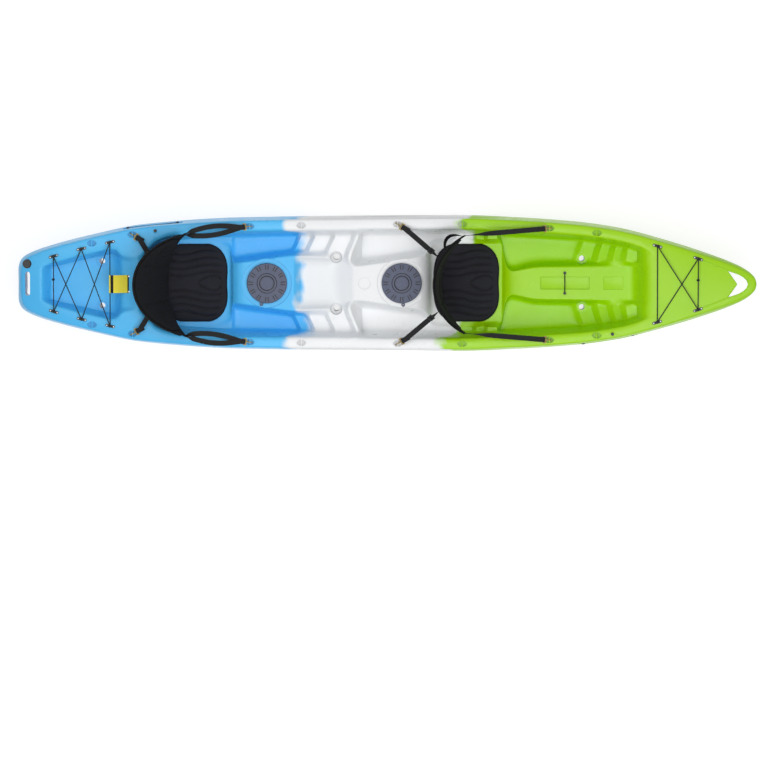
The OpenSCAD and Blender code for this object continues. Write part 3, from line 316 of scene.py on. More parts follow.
def woven(name, dark, pale, roughness, sheen):
    made = Finish(name, roughness)
    made.set("Specular IOR Level", 0.25)
    made.set("Sheen Weight", sheen)
    made.set("Sheen Roughness", 0.4)
    crossed = made.add("Math", operation="MULTIPLY")
    for i, way in enumerate("XY"):
        made.wire(made.waves(made.coords.outputs["Object"], THREADS, way), crossed.inputs[i])
    faded = made.sum_of(made.noise(14.0, 4.0), 0.8, crossed.outputs[0])
    cloth = made.blended(made.ranged(faded, 0.2, 1.1), dark, pale)
    # Painted shade: the cloth is darkened in its sewn channels, seams and creases.
    made.feed("Base Color", made.painted_hollow_shade(cloth, reach=0.012, darkest_shade=0.3))
    made.bumped(crossed.outputs[0], WEAVE_DEPTH, 0.7)
    return made.material

seat_cloth = woven("seat_cloth", "#1b1b20", "#2a2a31", 0.85, sheen=0.02)
back_cloth = woven("back_cloth", "#08080a", "#111114", 0.88, sheen=0.0)

def ribbed(name, dark, pale, roughness, across, along):
    made = Finish(name, roughness)
    made.set("Specular IOR Level", 0.3)
    size = made.add("Mapping", Scale=(across, along, 1.0))
    made.wire(made.coords.outputs["UV"], size.inputs["Vector"])
    ribs, sides = (made.waves(size.outputs["Vector"], 1.0, way) for way in "YX")
    weave = made.sum_of(sides, 0.4, ribs)
    made.feed("Base Color", made.blended(made.ranged(weave, 0.2, 1.3), dark, pale))
    made.bumped(weave, WEAVE_DEPTH, 0.7)
    return made.material

webbing = ribbed("webbing", "#0b0b0c", "#1b1b1e", 0.75, 2.4, 105.0)
yellow_web = ribbed("yellow_web", "#f2e236", "#fff25c", 0.75, 5.0, 105.0)
cord_braid = ribbed("cord_braid", "#101011", "#2a2a2c", 0.7, 1.3, 90.0)
print("cloth, webbing and cord woven")

# %% [markdown]
# ## Hull lines
# A boat is drawn as lines: half beam, chine, keel and sheer (the top edge), each a height or width along
# the length. A smooth monotone curve through a few control points gives each line, in millimetres, as a
# boat builder's table of offsets does. The deck has its own level tables for the seat wells, foot steps and
# consoles.

# %% Curves through control points
LENGTH, BEAM = 4300.0, 800.0
STERN, BOW = -LENGTH / 2, LENGTH / 2
MM = 0.001

def mix(a, b, t):
    return a + (b - a) * t

def clamp01(t):
    return min(1.0, max(0.0, t))

def ease(t):
    t = clamp01(t)
    return t * t * (3 - 2 * t)

def lookup(x, table):
    if x <= table[0][0]:
        return table[0][1]
    for (x0, v0), (x1, v1) in zip(table, table[1:]):
        if x <= x1:
            return mix(v0, v1, (x - x0) / (x1 - x0))
    return table[-1][1]

def slope_at(line, i):
    def span(k):
        return (line[k + 1][1] - line[k][1]) / (line[k + 1][0] - line[k][0])
    if i in (0, len(line) - 1):
        return span(min(i, len(line) - 2))
    a, b = span(i - 1), span(i)
    return 0.0 if a * b <= 0 else 2 * a * b / (a + b)

def fair(line, x):
    i = max([0] + [k for k in range(len(line) - 1) if line[k][0] <= x])
    run = line[i + 1][0] - line[i][0]
    t = clamp01((x - line[i][0]) / run)
    a, b = slope_at(line, i) * run, slope_at(line, i + 1) * run
    rise = line[i + 1][1] - line[i][1]
    return line[i][1] + t * (a + t * (3 * rise - 2 * a - b + t * (a + b - 2 * rise)))

SHEER_MID, SHEER_QUARTER, SHEER_BOW, SHEER_STERN, CHINE = 352, 391, 405, 308, 172
beam_line = [(-1, 0.26), (-0.985, 0.39), (-0.9, 0.57), (-0.78, 0.735), (-0.66, 0.865), (-0.4, 0.965),
             (0, 0.994), (0.2, 1), (0.36, 0.967), (0.52, 0.905), (0.63, 0.82), (0.74, 0.67), (0.85, 0.485),
             (0.95, 0.28), (0.985, 0.17), (1, 0.07)]
chine_line = [(-1, 61), (-0.85, 38), (-0.65, 9), (-0.23, 0), (0.05, 0), (0.25, 9), (0.41, 24), (0.58, 44),
              (0.69, 76), (0.8, 123), (0.88, 161), (0.95, 184), (1, 206)]
keel_line = [(-1, 222), (-0.985, 165), (-0.965, 115), (-0.935, 62), (-0.87, 28), (-0.65, 12), (-0.42, 0),
             (0.24, 0), (0.6, 12), (0.75, 30), (0.825, 54), (0.857, 112), (0.89, 193), (0.92, 275),
             (0.945, 335), (0.96, 358), (1, 376)]
sheer_line = [(-1, SHEER_STERN), (-0.9, mix(SHEER_STERN, SHEER_QUARTER, 0.5)),
              (-0.78, mix(SHEER_STERN, SHEER_QUARTER, 0.82)), (-0.65, SHEER_QUARTER), (-0.38, SHEER_QUARTER),
              (-0.25, mix(SHEER_MID, SHEER_QUARTER, 0.5)), (-0.1, SHEER_MID + 2), (0.05, SHEER_MID),
              (0.18, SHEER_MID), (0.42, mix(SHEER_MID, SHEER_BOW, 0.33)),
              (0.62, mix(SHEER_MID, SHEER_BOW, 0.74)), (0.8, mix(SHEER_MID, SHEER_BOW, 0.95)), (1, SHEER_BOW)]
vee_line = [(-1, 0.35), (-0.7, 0.15), (-0.4, 0), (0.22, 0), (0.6, 0.12), (0.85, 0.3), (1, 0.35)]
scoop_line = [(-640, 0), (-430, 14), (0, 16), (430, 14), (740, 0)]

def half_beam(x):
    return BEAM / 2 * fair(beam_line, 2 * x / LENGTH)

def sheer_z(x):
    return fair(sheer_line, 2 * x / LENGTH)

def gunwale_y(x):
    return half_beam(x) - min(18, half_beam(x) * 0.1)

def deck_camber(x, y):
    return 4 * (1 - (y / gunwale_y(x)) ** 2)

def deck_z(x, y):
    return sheer_z(x) + deck_camber(x, y)

print("beam amidships", round(2 * half_beam(0)), "mm, sheer", round(sheer_z(0)), "mm")

# %% Deck levels
REAR_SEAT, FRONT_SEAT, COCKPIT_END = -1275, 312, 1500
COCKPIT_START, TANK_START = REAR_SEAT - 116, STERN + 160
TANK_WIDE_END, TANK_END = REAR_SEAT - 285, REAR_SEAT - 183
SEAT_X = {"rear": REAR_SEAT, "front": FRONT_SEAT}
SEAT, LEGS, CONSOLE, MIDDLE, BOW_CONSOLE, STEP = 165, 142, 250, 195, 225, 30
TANK, SHELF = 262, 26

def stairs(first, places, run):
    return [p for i, x in enumerate(places)
            for p in ((x, first + i * STEP - (10 if i else 0)), (x + run, first + (i + 1) * STEP))]

shelf_z = sheer_z(TANK_END) - SHELF
tank_level = [(TANK_START, sheer_z(TANK_START)), (TANK_START + 36, TANK), (TANK_WIDE_END, TANK),
              (TANK_WIDE_END + 20, shelf_z), (TANK_END - 20, shelf_z), (TANK_END, sheer_z(TANK_END))]
leg_level = ([(COCKPIT_START, sheer_z(COCKPIT_START)), (COCKPIT_START + 58, SEAT), (REAR_SEAT + 375, SEAT),
              (REAR_SEAT + 395, LEGS)] + stairs(LEGS, [-566, -484, -368, -246], 26)
             + [(-205, LEGS + 4 * STEP), (-140, LEGS)] + stairs(LEGS, [393, 509, 573], 22)
             + [(FRONT_SEAT + 340, LEGS + 3 * STEP), (FRONT_SEAT + 362, LEGS)]
             + stairs(LEGS, [1085, 1201, 1288, 1364], 38)
             + [(COCKPIT_END - 36, LEGS + 4 * STEP), (COCKPIT_END, sheer_z(COCKPIT_END))])
centre_level = [(COCKPIT_START, sheer_z(COCKPIT_START)), (COCKPIT_START + 58, SEAT), (REAR_SEAT + 366, SEAT),
                (REAR_SEAT + 384, SEAT + 45), (REAR_SEAT + 432, CONSOLE), (-528, CONSOLE), (-500, MIDDLE),
                (-290, MIDDLE), (-186, CONSOLE), (FRONT_SEAT - 66, CONSOLE), (FRONT_SEAT - 48, SEAT),
                (FRONT_SEAT + 372, SEAT), (FRONT_SEAT + 390, SEAT + 30), (FRONT_SEAT + 460, BOW_CONSOLE),
                (COCKPIT_END - 36, BOW_CONSOLE), (COCKPIT_END, sheer_z(COCKPIT_END))]
rim_level = [(-529, 0), (-528, CONSOLE), (-330, CONSOLE), (-300, MIDDLE)]
centre_width = [(REAR_SEAT + 366, 235), (REAR_SEAT + 384, 120), (-566, 166), (-330, 158), (-186, 100),
                (FRONT_SEAT - 66, 166), (FRONT_SEAT - 48, 235), (FRONT_SEAT + 372, 235),
                (FRONT_SEAT + 390, 60), (FRONT_SEAT + 555, 100), (COCKPIT_END, 104)]
corner_width = [(COCKPIT_START, 185), (COCKPIT_START + 51, 240), (COCKPIT_START + 119, 275),
                (COCKPIT_START + 240, 400)]
tank_width = [(TANK_WIDE_END, 400), (TANK_WIDE_END + 20, 165), (TANK_END, 155), (COCKPIT_START, 185)]

def inside(x, table):
    return table[0][0] < x < table[-1][0]

def level(x, cockpit):
    for table in (tank_level, cockpit):
        if inside(x, table):
            return min(sheer_z(x), lookup(x, table))
    return sheer_z(x)

def well_y(x):
    g = gunwale_y(x)
    if x < COCKPIT_START:
        return max(0.45 * g, min(g - 90, lookup(x, tank_width)))
    return max(0.55 * g, min(g - 66, lookup(x, corner_width)))

print("seat wells at", REAR_SEAT, "and", FRONT_SEAT, "mm, tank well from", TANK_START, "mm")

# %% [markdown]
# ## Hull shell
# One closed rotomoulded skin. Half a section is a chain of points from the middle of the deck round to the
# keel. The chain is extruded from station to station, each time moved to the next section, then mirrored to
# the other side. A Subdivision Surface turns that cage into the soft, fat-cornered skin that this way of
# moulding gives. Booleans come after it, because the drains, pockets and hatch holes are trimmed after
# moulding.

# %% One half section
STEP_SLANT, STERN_RAKE, RAKE_RUN = 50, 26, 110
DECK_POINTS, FLOOR_POINTS = range(12), range(4, 10)

def half_section(x):
    u = 2 * x / LENGTH
    b, g, zk, zs = half_beam(x), gunwale_y(x), fair(keel_line, u), sheer_z(x)
    zc = CHINE + fair(chine_line, u)
    r, e = min(14, 0.2 * g), min(10, 0.3 * (zc - zk))
    yw = well_y(x)
    yf = yw - min(30, 0.2 * yw)
    yc = min(lookup(x, centre_width), 0.86 * yf - 6)
    rim = min(14, 0.12 * yc)
    zl, zm = level(x, leg_level), level(x, centre_level)
    zr = max(zm, lookup(x, rim_level) if inside(x, rim_level) else 0)
    scoop = fair(scoop_line, x) if inside(x, scoop_line) else 0
    vee, rise, side, t = fair(vee_line, u), zc - zk, zs - zc, b - g
    foot = yc + 1.4 * rim
    chain = [(0, zm), (yc - 2.4 * rim, zm), (yc - rim, zr), (yc, zr), (foot, zl), (mix(foot, yf, 0.2), zl),
             (mix(foot, yf, 0.8), zl), (yf, zl), (mix(yf, yw, 0.35), mix(zl, zs, 0.2)),
             (mix(yf, yw, 0.85), mix(zl, zs, 0.9)), (yw + 6, zs), (g - r, zs), (g - 0.3 * r, zs - 0.3 * r),
             (g, zs - r), (b - 0.72 * t - scoop, zc + 0.72 * side), (b - 0.55 * t - scoop, zc + 0.55 * side),
             (b - 0.46 * t, zc + 0.46 * side), (b, zc + e), (b - 0.02 * b, zc - e),
             (0.8 * b, zk + 0.4 * rise), (0.62 * b, zk + vee * rise), (0.46 * b, zk + vee * rise * 0.8),
             (0.28 * b, zk + (0.1 + vee * 0.4) * rise), (min(38, 0.2 * b), zk), (0, zk)]
    on_steps = (ease((x - 1040) / 40) * ease((COCKPIT_END - 20 - x) / 130)
                + ease((x + 620) / 50) * ease((-130 - x) / 70))
    placed = []
    for i, (y, z) in enumerate(chain):
        lift = ease((z - zs) / SHELF * 1.25 + 1) * deck_camber(x, y) if i in DECK_POINTS else 0
        slant = STEP_SLANT * on_steps * clamp01((y - 170) / 100) if i in FLOOR_POINTS else 0
        rake = STERN_RAKE * ease((STERN + RAKE_RUN - x) / RAKE_RUN) * clamp01((z - zc) / (zs - zc))
        placed.append(Vector((x + rake + slant, y, z + lift)) * MM)
    return placed

print("a section has", len(half_section(0)), "points a side")

# %% Extrude the section along the stations
END_GAP, SPACING, CLEAR, CLOSEST, STEP_CREASE, WELD = 60, 105, 45, 7, 0.75, 0.0001

edges_x = [p[0] for t in (tank_level, leg_level, centre_level, centre_width, corner_width) for p in t]
ends_x = [u * LENGTH / 2 for u in (-1, -0.985, -0.965, -0.935, -0.9, 0.825, 0.857, 0.89, 0.92, 0.945, 0.96,
                                   0.985, 1)]
fixed = sorted(set(edges_x + ends_x))
between = [STERN + END_GAP + SPACING * k for k in range(int(LENGTH / SPACING))]
between = [x for x in between if x < BOW - END_GAP and min(abs(x - f) for f in fixed) > CLEAR]
thinned = fixed[:1]
for x in sorted(fixed + between):
    if x - thinned[-1] >= CLOSEST:
        thinned.append(x)

def new_points(made):
    return [g for g in made["geom"] if isinstance(g, bmesh.types.BMVert)]

def extruded(bm, places, closed):
    def pairs(row):
        return zip(row, row[1:] + row[:1] if closed else row[1:])
    rows = [[bm.verts.new(p) for p in places[0]]]
    first = chain = [bm.edges.new(pair) for pair in pairs(rows[0])]
    for place in places[1:]:
        fresh = set(new_points(bmesh.ops.extrude_edge_only(bm, edges=chain)))
        row = [next(e.other_vert(v) for e in v.link_edges if e.other_vert(v) in fresh) for v in rows[-1]]
        chain = [bm.edges.get(pair) for pair in pairs(row)]
        for v, p in zip(row, place):
            v.co = p
        rows.append(row)
    return rows, first + chain

bm = bmesh.new()
rows = extruded(bm, [half_section(x) for x in thinned], closed=False)[0]
crisp = bm.edges.layers.float.new("crease_edge")
stair_x = [x for x, z in leg_level[4:-1]]
for row_x, row in zip(thinned, rows):
    if min(abs(row_x - x) for x in stair_x) < 1:
        for pair in zip(row[4:9], row[5:10]):
            bm.edges.get(pair)[crisp] = STEP_CREASE
bmesh.ops.mirror(bm, geom=bm.verts[:] + bm.edges[:] + bm.faces[:], axis="Y", merge_dist=WELD)
bmesh.ops.remove_doubles(bm, verts=bm.verts, dist=WELD)
bmesh.ops.holes_fill(bm, edges=[e for e in bm.edges if e.is_boundary], sides=0)
bmesh.ops.recalc_face_normals(bm, faces=bm.faces)
print("hull cage:", len(thinned), "stations,", len(bm.faces), "faces")
hull = new_object("hull_shell", bm)
smooth = hull.modifiers.new("fair_skin", "SUBSURF")
smooth.levels = smooth.render_levels = 2
print("hull cage subdivided twice")

# %% [markdown]
# ### Openings in the hull
# Each opening is a simple solid that a Boolean takes away. They go in two groups, wide shallow ones first
# and narrow deep ones after, so that no two solids of one group overlap. Cutters with beveled edges leave
# the soft inner corners that a plug in the mould would leave.

# %% Cutter shapes
TILT = Matrix.Rotation(radians(90), 4, "X")

def upright(bm, x, y, low, high, radius, top_radius=None, sides=40):
    made = bmesh.ops.create_cone(bm, cap_ends=True, segments=sides, radius1=radius * MM,
                                 radius2=(top_radius or radius) * MM, depth=(high - low) * MM)
    bmesh.ops.translate(bm, verts=made["verts"], vec=Vector((x, y, (low + high) / 2)) * MM)

def lying(bm, x, z, radius, y_from, y_to, sides=40):
    made = bmesh.ops.create_cone(bm, cap_ends=True, segments=sides, radius1=radius * MM,
                                 radius2=radius * MM, depth=abs(y_to - y_from) * MM, matrix=TILT)
    bmesh.ops.translate(bm, verts=made["verts"], vec=Vector((x, (y_from + y_to) / 2, z)) * MM)

def prism(bm, outline, height, place=Matrix(), round_off=0.0, upright_only=False):
    corners = [bm.verts.new(Vector((x, y, 0)) * MM) for x, y in outline]
    base = bm.faces.new(corners)
    top = new_points(bmesh.ops.extrude_face_region(bm, geom=[base]))
    bmesh.ops.translate(bm, verts=top, vec=(0, 0, height * MM))
    faces = {f for v in corners + top for f in v.link_faces}
    bmesh.ops.recalc_face_normals(bm, faces=list(faces))
    edges = {e for f in faces for e in f.edges}
    bmesh.ops.transform(bm, matrix=place, verts=corners + top)
    if round_off:
        chosen = [e for e in edges if not upright_only or (e.verts[0] in top) != (e.verts[1] in top)]
        bmesh.ops.bevel(bm, geom=chosen, offset=round_off * MM, affect="EDGES", segments=3, profile=0.5,
                        material=-1)

def box(x_from, x_to, half_y):
    return [(x_from, -half_y), (x_to, -half_y), (x_to, half_y), (x_from, half_y)]

def arc(cx, cy, radius, start, end, count):
    turns = [radians(mix(start, end, i / count)) for i in range(count + 1)]
    return [(cx + radius * cos(a), cy + radius * sin(a)) for a in turns]

def stadium(length, width, count=10):
    r, h = width / 2, (length - width) / 2
    return arc(h, 0, r, -90, 90, count) + arc(-h, 0, r, 90, 270, count)

def lens(a, b, count=8):
    r = (a * a + b * b) / (2 * b)
    half = degrees(asin(a / r))
    far, near = arc(0, b - r, r, 90 - half, 90 + half, count), arc(0, r - b, r, 270 - half, 270 + half, count)
    return far[:-1] + near[:-1]

def moved(x, y, z, yaw=0.0):
    return Matrix.Translation(Vector((x, y, z)) * MM) @ Matrix.Rotation(radians(yaw), 4, "Z")

print("cutter helpers ready")

# %% Where the fittings sit
REAR_HATCH, FRONT_HATCH, HATCH_Z = -691, 94, CONSOLE - 6
WHEEL_X, WHEEL_Z, SLOT_X = STERN + 205, 88, STERN + 70
DRAIN_X, DRAIN_Y = STERN + 67, 116
DRAIN_Z = sheer_z(DRAIN_X)
scupper_rows = [(TANK_WIDE_END - 90, 129, TANK), (-287, 150, MIDDLE), (1147, 142, LEGS + STEP)]
scuppers = [(x, side * y, z) for x, y, z in scupper_rows for side in (-1, 1)]
pad_eye_x = [STERN + 447, REAR_SEAT - 192, REAR_SEAT + 488, -489, FRONT_SEAT - 242, FRONT_SEAT + 133,
             FRONT_SEAT + 639, COCKPIT_END - 275]

def pad_eye_at(i, side):
    x = pad_eye_x[i]
    y = gunwale_y(x) - 34
    return Vector((x, side * y, deck_z(x, y)))

pad_eyes = [pad_eye_at(i, side) for i in range(len(pad_eye_x)) for side in (-1, 1)]
park_first, park_side, park_height = [COCKPIT_END - 350, TANK_END - 40], [-1, 1], [300, 305]
PARK_SPAN = 290

def park_end(i, k):
    x = park_first[i] + k * PARK_SPAN
    return Vector((x, park_side[i] * (half_beam(x) - 6), park_height[i]))

def park_place(i):
    a, b = park_end(i, 0), park_end(i, 1)
    middle = (a + b) / 2
    return moved(*middle, degrees(atan2(b.y - a.y, b.x - a.x)))

def park_hook(i):
    x = park_first[i] + 165
    y = gunwale_y(x) - 27
    return Vector((x, park_side[i] * y, deck_z(x, y) - 2))

print("pad eyes:", len(pad_eyes), "scuppers:", len(scuppers))

# %% Wide cutters
HATCH_R, HATCH_RIM_R, WHEEL_WELL_R, WHEEL_WELL_HALF, AXLE_CAP_R = 143, 155, 83, 33, 26
OUTSIDE, HOLD_DEPTH, SCOOP_DEPTH = BEAM / 2 + 40, 84, 58
hand_hold = [(-215, SHEER_MID - 26), (-175, 284), (165, 284), (205, SHEER_MID - 26)]
half_turn = [pi * i / 20 for i in range(21)]
side_scoop = [(-300 * cos(a), 66 * sin(a)) for a in half_turn]

wide = bmesh.new()
for x, y, z in scuppers:
    upright(wide, x, y, z - 6, z + 84, 32, 40)
for p in pad_eyes:
    prism(wide, lens(28, 19), 30, moved(p.x, p.y, p.z - 18))
for x in (REAR_HATCH, FRONT_HATCH):
    upright(wide, x, 0, HATCH_Z, HATCH_Z + 60, HATCH_R, HATCH_RIM_R, 72)
    prism(wide, box(-140, 140, 110), 170, moved(x, 0, 40), 20)
upright(wide, -124, 0, CONSOLE - 5, CONSOLE + 35, 36, 40)
prism(wide, box(-143, 143, 37), 40, moved(1047, 0, BOW_CONSOLE - 8), 4)
prism(wide, box(-58, 58, 38), 40, moved(1329, 0, BOW_CONSOLE - 3), 4)
upright(wide, DRAIN_X, DRAIN_Y, DRAIN_Z - 8, DRAIN_Z + 32, 26.4, 29)
lying(wide, WHEEL_X, WHEEL_Z, WHEEL_WELL_R, -WHEEL_WELL_HALF, WHEEL_WELL_HALF, 56)
for side in (-1, 1):
    lying(wide, WHEEL_X, WHEEL_Z, AXLE_CAP_R, side * 118, side * 268)
    for shape, x, z, depth, soft in ((hand_hold, 0, 0, HOLD_DEPTH, 10),
                                     (side_scoop, 12, CHINE + 8, SCOOP_DEPTH, 8)):
        y = OUTSIDE if side > 0 else depth - OUTSIDE
        prism(wide, shape, depth, moved(x, y, z) @ TILT, soft)
for i, side in enumerate(park_side):
    half = (PARK_SPAN + 60) / 2
    deep = Matrix.Translation(Vector((0, 34 if side > 0 else 14, 0)) * MM)
    prism(wide, box(-half, half, 31), 48, park_place(i) @ deep @ TILT, 9)
    prism(wide, [(-58, 16 * side), (58, 16 * side), (0, -16 * side)], 40, moved(*park_hook(i)), 3)
wide_cutter = new_object("wide_cutter", wide)
print("wide cutters:", len(wide_cutter.data.polygons), "faces")

# %% Narrow cutters
SCUPPER_R, HATCH_HOLE_R, DRAIN_R, AXLE_R, SLOT = 17, 99, 17.4, 8.05, (140, 29)

narrow = bmesh.new()
for x, y, z in scuppers:
    upright(narrow, x, y, -20, z + 60, SCUPPER_R)
for x in (REAR_HATCH, FRONT_HATCH):
    upright(narrow, x, 0, 120, HATCH_Z + 30, HATCH_HOLE_R, None, 72)
prism(narrow, stadium(*SLOT), 500, moved(SLOT_X, 0, 0, 90))
tip, shoulder, SHOULDER_Y = BOW - 46, BOW - 178, 84
bow_mouth = [(shoulder, SHOULDER_Y), (tip - 90, 71), (tip - 54, 58), (tip - 28, 42), (tip - 10, 24),
             (tip - 1, 0)]
bow_mouth += [(x, -y) for x, y in bow_mouth[-2::-1]]
bow_mouth += [(shoulder + 26, -48), (shoulder + 60, 0), (shoulder + 26, 48)]
prism(narrow, bow_mouth[::-1], 400, moved(0, 0, 150), 5, True)
upright(narrow, DRAIN_X, DRAIN_Y, DRAIN_Z - 56, DRAIN_Z + 4, DRAIN_R)
well = box(-WHEEL_WELL_R, WHEEL_WELL_R, WHEEL_WELL_HALF)
prism(narrow, well, 200, moved(WHEEL_X, 0, WHEEL_Z - 200))
lying(narrow, WHEEL_X, WHEEL_Z, AXLE_R, -300, 300)
narrow_cutter = new_object("narrow_cutter", narrow)
print("narrow cutters:", len(narrow_cutter.data.polygons), "faces")

# %% Cut the hull and keep the finished mesh
for cutter in (wide_cutter, narrow_cutter):
    cut = hull.modifiers.new(cutter.name, "BOOLEAN")
    cut.operation = "DIFFERENCE"
    cut.object = cutter
    cut.solver = "MANIFOLD"

def settle(piece):
    ready = piece.evaluated_get(bpy.context.evaluated_depsgraph_get())
    mesh = bpy.data.meshes.new_from_object(ready)
    piece.modifiers.clear()
    piece.data = mesh

settle(hull)
for cutter in (wide_cutter, narrow_cutter):
    bpy.data.objects.remove(cutter)

def dress(piece, material, slot, body, *replaced, angle=38):
    piece.data.shade_smooth()
    piece.data.set_sharp_from_angle(angle=radians(angle))
    put_on(material, piece)
    if replaced:
        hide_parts(*replaced)
    if body:
        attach(piece, body)
    print(piece.name, sum(len(p.vertices) - 2 for p in piece.data.polygons), "triangles")

dress(hull, hull_plastic, "hull_shell", "boat", "hull")

# %% Bars across the pad eyes
BAR_R, BAR_HALF, BAR_DROP = 4, 20, 5

bm = bmesh.new()
for p in pad_eyes:
    lying(bm, p.x, p.z - BAR_DROP, BAR_R, p.y - BAR_HALF, p.y + BAR_HALF, 20)
dress(new_object("pad_eye_bars", bm), hull_plastic, "hull_shell", "boat")

# %% [markdown]
# ## Fittings kept from the CAD model
# The turned and moulded fittings already have their true shape, so they stay and only get a finish. The
# record names a material slot for each node, and that slot picks the finish.

# %% Finish the kept fittings
kept = 0
for entry in frame["record"]["subparts"]:
    finish = black_plastic if entry["node"] == "drain_plug" else finishes.get(entry["material_slot"])
    if finish and not entry["node"].endswith("_buckles"):
        for place in nodes[entry["node"]].material_slots:
            place.material = finish
        kept += 1
print(kept, "fittings finished")

# %% [markdown]
# ## Swept pieces: lid rings, cords and the bow lip
# A shock cord is a circle swept along a path: the ring is extruded edge by edge and each new ring is moved
# to the next point. While sweeping, a UV map is written with U around the cord and V along it in metres, so
# the braid of the finish follows every bend. Each bight goes round the bar of a lash eye, half over and
# half under. The same sweep makes the raised rings of the lids and the rolled lip of the bow mouth.

# %% Sweep helper
def sweep(bm, rings, across=None):
    uv = bm.loops.layers.uv.verify()
    count, spot, along = len(rings[0]), {}, 0.0
    rows, ends = extruded(bm, [[p * MM for p in ring] for ring in rings], closed=True)
    for i, row in enumerate(rows):
        along += (sum(rings[i], Vector()) - sum(rings[max(i - 1, 0)], Vector())).length / count * MM
        spot.update({v: (j, along) for j, v in enumerate(row)})
    bmesh.ops.holes_fill(bm, edges=ends, sides=0)
    faces = list({f for v in spot for f in v.link_faces})
    bmesh.ops.recalc_face_normals(bm, faces=faces)
    for face in faces:
        wraps = across is None and {spot[v][0] for v in face.verts} == {0, count - 1}
        for loop in face.loops:
            j, v = spot[loop.vert]
            loop[uv].uv = (across[j] if across else (count if wraps and j == 0 else j) / count, v)

def heading(points, i):
    return (points[min(i + 1, len(points) - 1)] - points[max(i - 1, 0)]).normalized()

def tube_rings(points, radius, sides=10):
    rings, right = [], None
    for i, p in enumerate(points):
        ahead = heading(points, i)
        right = ahead.orthogonal() if right is None else right - ahead * right.dot(ahead)
        right = right.normalized()
        up = ahead.cross(right)
        turns = [tau * k / sides for k in range(sides)]
        rings.append([p + radius * (right * cos(a) + up * sin(a)) for a in turns])
    return rings

print("sweep ready")

# %% Ribs and rings on the lids
RIB_LIFT, RING_LIFT = 18.2, 19

for end, x in (("rear", REAR_HATCH), ("front", FRONT_HATCH)):
    bm = bmesh.new()
    for turn in range(0, 360, 30):
        for lean in (-4.5, 4.5):
            prism(bm, box(80, 108, 2.6), 3.2, moved(x, 0, HATCH_Z + RIB_LIFT, turn + lean), 1.0)
    for radius, thick in ((57, 2.2), (42, 3.0)):
        hoop = [Vector((a, b, HATCH_Z + RING_LIFT)) for a, b in arc(x, 0, radius, 0, 360, 72)]
        sweep(bm, tube_rings(hoop, thick, 8))
    dress(new_object(end + "_lid_ribs", bm), black_plastic, "lid_plastic", end + "_hatch_cover")

# %% Lash eyes and the cord's bights
CORD_R, EYE_BAR, BIGHT_R = 3.0, 14.5, 6.6
stern_eye_x = [STERN + 224, STERN + 387, TANK_WIDE_END - 37]
bow_eye_x = [COCKPIT_END + 74, COCKPIT_END + 310]

def eye_at(x, inset, side):
    y = gunwale_y(x) - inset
    return Vector((x, side * y, deck_z(x, y) - 2))

stern_eyes = [eye_at(x, 52, side) for side in (1, -1) for x in stern_eye_x]
bow_eyes = [eye_at(x, 34, side) for side in (1, -1) for x in bow_eye_x]

def bight(p, under_first):
    side, k = copysign(1, p.y), -1 if under_first else 1
    yaw = side * atan2(gunwale_y(p.x + 15) - gunwale_y(p.x - 15), 30)
    out = side * Vector((-sin(yaw), cos(yaw), 0))
    turns = [radians(a) for a in range(90, -91, -15)]
    return [p + out * BIGHT_R * cos(a) + Vector((0, 0, EYE_BAR + k * BIGHT_R * sin(a)))
            for a in turns]

def runs(points, step=60):
    fine = [points[0]]
    for a, b in zip(points, points[1:]):
        parts = max(1, int((b - a).length / step))
        fine += [a.lerp(b, k / parts) for k in range(1, parts + 1)]
    return fine

def full_turn(count):
    return [tau * k / count for k in range(count + 1)]

def knot(bm, p):
    path = [p + 2.5 * Vector((cos(t) - 2 * cos(2 * t), 1.5 * sin(3 * t),
                              sin(t) + 2 * sin(2 * t))) for t in full_turn(60)]
    sweep(bm, tube_rings(path, 2.6))

def laced(name, turns, *replaced, over=None):
    tied = turns[0][0].lerp(turns[-1][-1], 0.42)
    path = [tied]
    for i, turn in enumerate(turns):
        path += turn
        if over is not None and i == 0:
            path.append(over)
    bm = bmesh.new()
    sweep(bm, tube_rings(runs(path + [tied]), CORD_R))
    knot(bm, tied)
    dress(new_object(name, bm), cord_braid, "cord", "boat", *replaced)

e = stern_eyes
laced("stern_cord", [bight(e[0], True), bight(e[4], False), bight(e[2], False), bight(e[5], True),
                     bight(e[1], False), bight(e[3], True)], "stern_bungee")
e = bow_eyes
turns = [bight(e[1], False), bight(e[2], True), bight(e[0], True), bight(e[3], False)]
middle = (turns[0][-1] + turns[1][0]) / 2
middle.z = max(middle.z, deck_z(middle.x, 0) + CORD_R + 1)
laced("bow_cord", turns, "bow_bungee", over=middle)

# %% Rolled lip of the bow mouth
def sunk(outline, step, drop):
    flat = runs([Vector((x, y, 0)) for x, y in outline], step)
    return [Vector((p.x, p.y, deck_z(p.x, p.y) - drop)) for p in flat]

bm = bmesh.new()
sweep(bm, tube_rings(sunk(bow_mouth + bow_mouth[:1], 8, 2.5), 5))
for side in (-1, 1):
    ridge = [(shoulder - 132, side * 134), (shoulder, side * SHOULDER_Y)]
    sweep(bm, tube_rings(sunk(ridge, 10, 1.5), 4.5))
dress(new_object("bow_mouth_lip", bm), hull_plastic, "hull_shell", "boat", angle=70)

# %% Console cord and paddle-park cords
def looped(bm, a, b, radius=5.2):
    ahead = (b - a).normalized()
    out = Vector((0, 0, 1)).cross(ahead).normalized()
    sweep(bm, tube_rings(runs([a + ahead * 4, a.lerp(b, 0.5) - out * 0.5, b - ahead * 4], 25), CORD_R))
    for p in (a, b):
        aside = out if abs(ahead.x) < 0.5 else ahead.cross(out)
        ring = [p + (ahead * cos(t) + aside * sin(t)) * radius for t in full_turn(24)]
        sweep(bm, tube_rings(ring, CORD_R * 0.8, 8))

